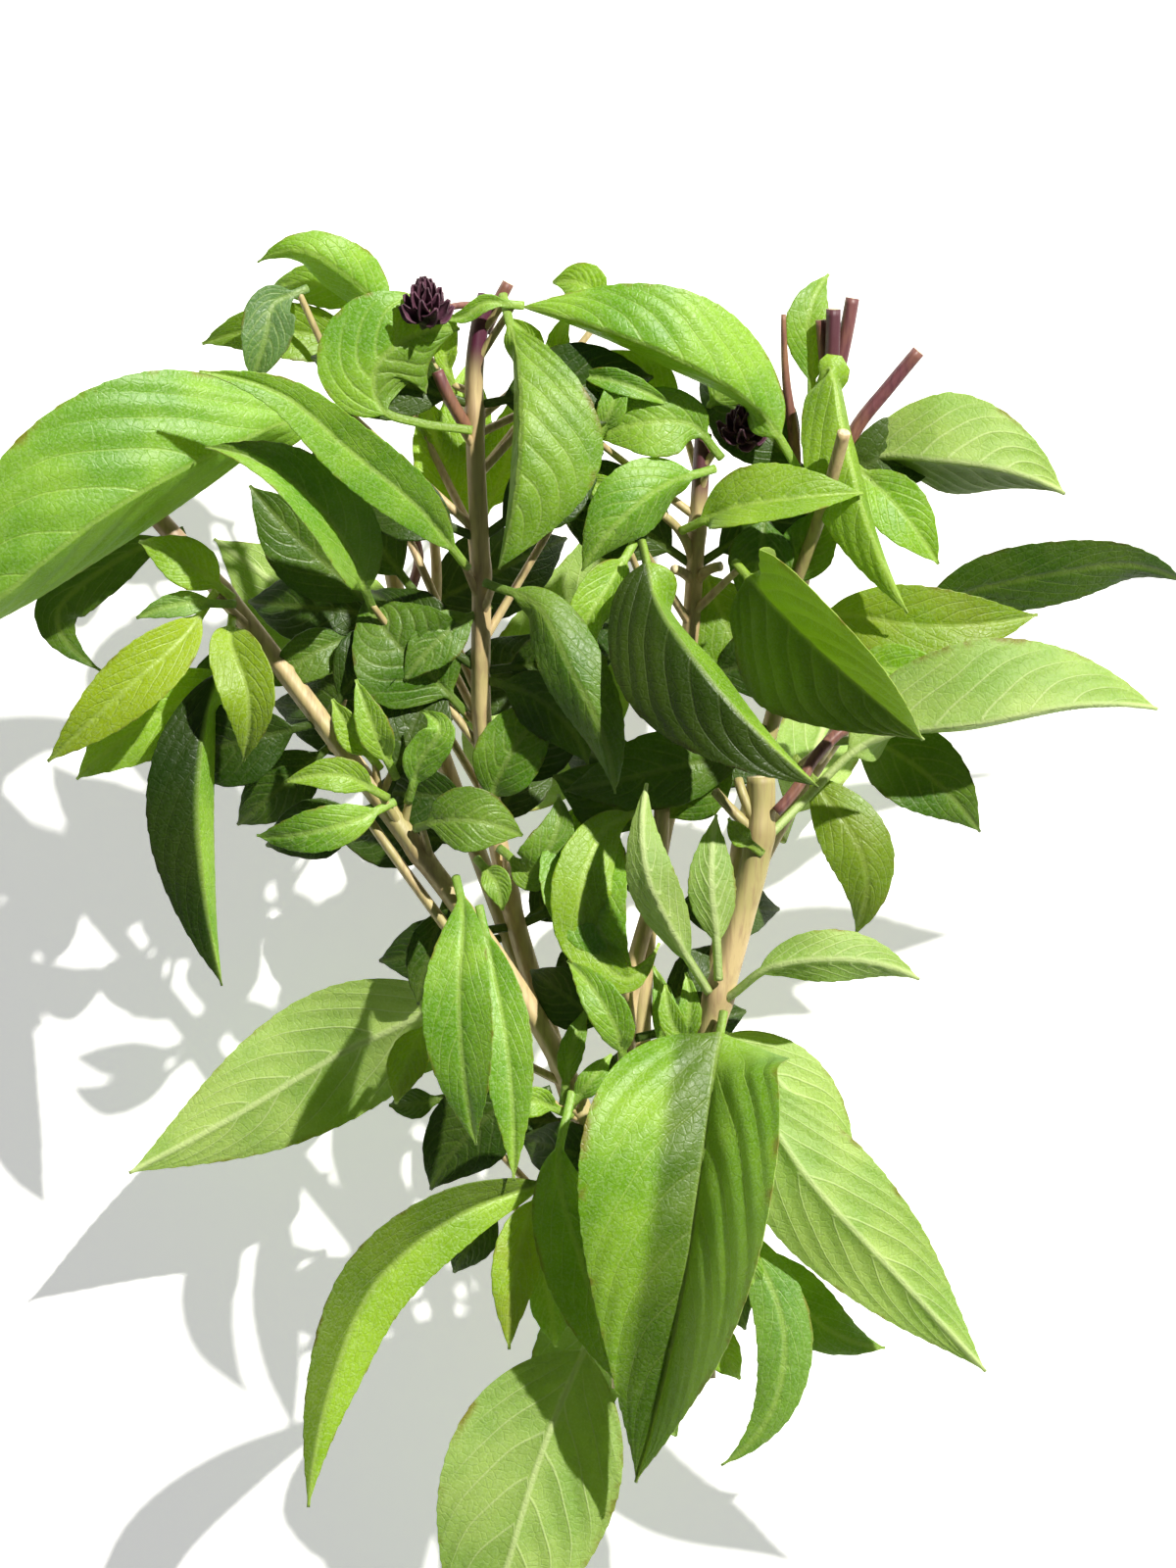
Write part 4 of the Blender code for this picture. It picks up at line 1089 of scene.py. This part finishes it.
def bract_material():
    """Young bracts: dark purple with green at the foot, dull and finely downy."""
    material, tree, shader, place = new_material("purple_bract_skin")
    cloud = scaled(tree, noise_of(tree, place, 2.0), 0.35, 0.65)
    skin = blend_colours(tree, cloud, linear("#3B1E2A"), linear("#5E3548"))
    green_foot = scaled(tree, value_of(tree, "along"), 0.0, 0.35, 0.6, 0.0)
    skin = blend_colours(tree, green_foot, skin, linear("#5A6A2E"))
    tree.links.new(skin, shader.inputs["Base Color"])
    shader.inputs["Roughness"].default_value = 0.6
    down = {"Height": noise_of(tree, place, 0.4), "Strength": 0.5, "Distance": 0.0002}
    bump = add_node(tree, "ShaderNodeBump", down)
    tree.links.new(bump.outputs[0], shader.inputs["Normal"])
    return material


bract_skin = bract_material()
for name, (foot, axis, count) in BUD_HEADS.items():
    shells = []
    for i in range(count):
        share = i / (count - 1)
        opening = np.radians(62 * (1 - share) + 6)
        size = (4.6 - 1.4 * share, 3.4 - 1.5 * share)
        leaf = bract(foot, axis, 4.2 * share, 2.2 * (1 - share), i * GOLDEN, *size, opening)
        shells.append(tinted_with_painted_shade(leaf_shell(leaf, BRACT_STEP, seed=i), TintAndPaintedShade()))
    head = add_mesh(name + "_head", shells, [bract_skin, bract_skin])
    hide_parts(name)
print(len(BUD_HEADS), "bud heads")

# %% [markdown]
# ## Table, light and air
# The bunch lies on a plain pale table in daylight. The key light is high at the upper right and
# broad enough for a soft edge to each shadow. A dim white surround fills the shade, and so does
# the table, a white sheet that is lit a little from below.

# %% Table
TABLE_REACH = 1.5  # m from the middle to each side


def plain_floor():
    """A pale matt square at the height of the table."""
    material = bpy.data.materials.new("pale_matt_table")
    material.use_nodes = True
    shader = material.node_tree.nodes["Principled BSDF"]
    shader.inputs["Base Color"].default_value = linear("#F4F4F2")
    shader.inputs["Roughness"].default_value = 0.9
    shader.inputs["Emission Color"].default_value = linear("#FFFFFF")
    shader.inputs["Emission Strength"].default_value = 0.46
    mesh = bpy.data.meshes.new("table")
    square = [(x * TABLE_REACH, y * TABLE_REACH, 0) for x, y in ((-1, -1), (1, -1), (1, 1), (-1, 1))]
    mesh.from_pydata(square, [], [(0, 1, 2, 3)])
    mesh.materials.append(material)
    table = bpy.data.objects.new("table", mesh)
    bpy.context.scene.collection.objects.link(table)


plain_floor()

# %% Light
LIGHT_FROM = (0.46, 0.56, 0.69)  # right, up in the view, and toward the viewer
SUN_WIDTH = 1.2  # degrees
sun = bpy.data.lights.new("key_light", "SUN")
sun.energy = 6.8
sun.angle = np.radians(SUN_WIDTH)
sun.color = (1.0, 0.97, 0.92)
key = bpy.data.objects.new("key_light", sun)
key.rotation_euler = Vector(LIGHT_FROM).to_track_quat("Z", "Y").to_euler()
bpy.context.scene.collection.objects.link(key)

world = bpy.data.worlds.new("soft_surround")
world.use_nodes = True
surround = world.node_tree.nodes["Background"]
surround.inputs["Color"].default_value = (0.93, 0.97, 1.0, 1.0)
surround.inputs["Strength"].default_value = 0.11
bpy.context.scene.world = world
bpy.context.scene.view_settings.view_transform = "Standard"
print("key light from", LIGHT_FROM)
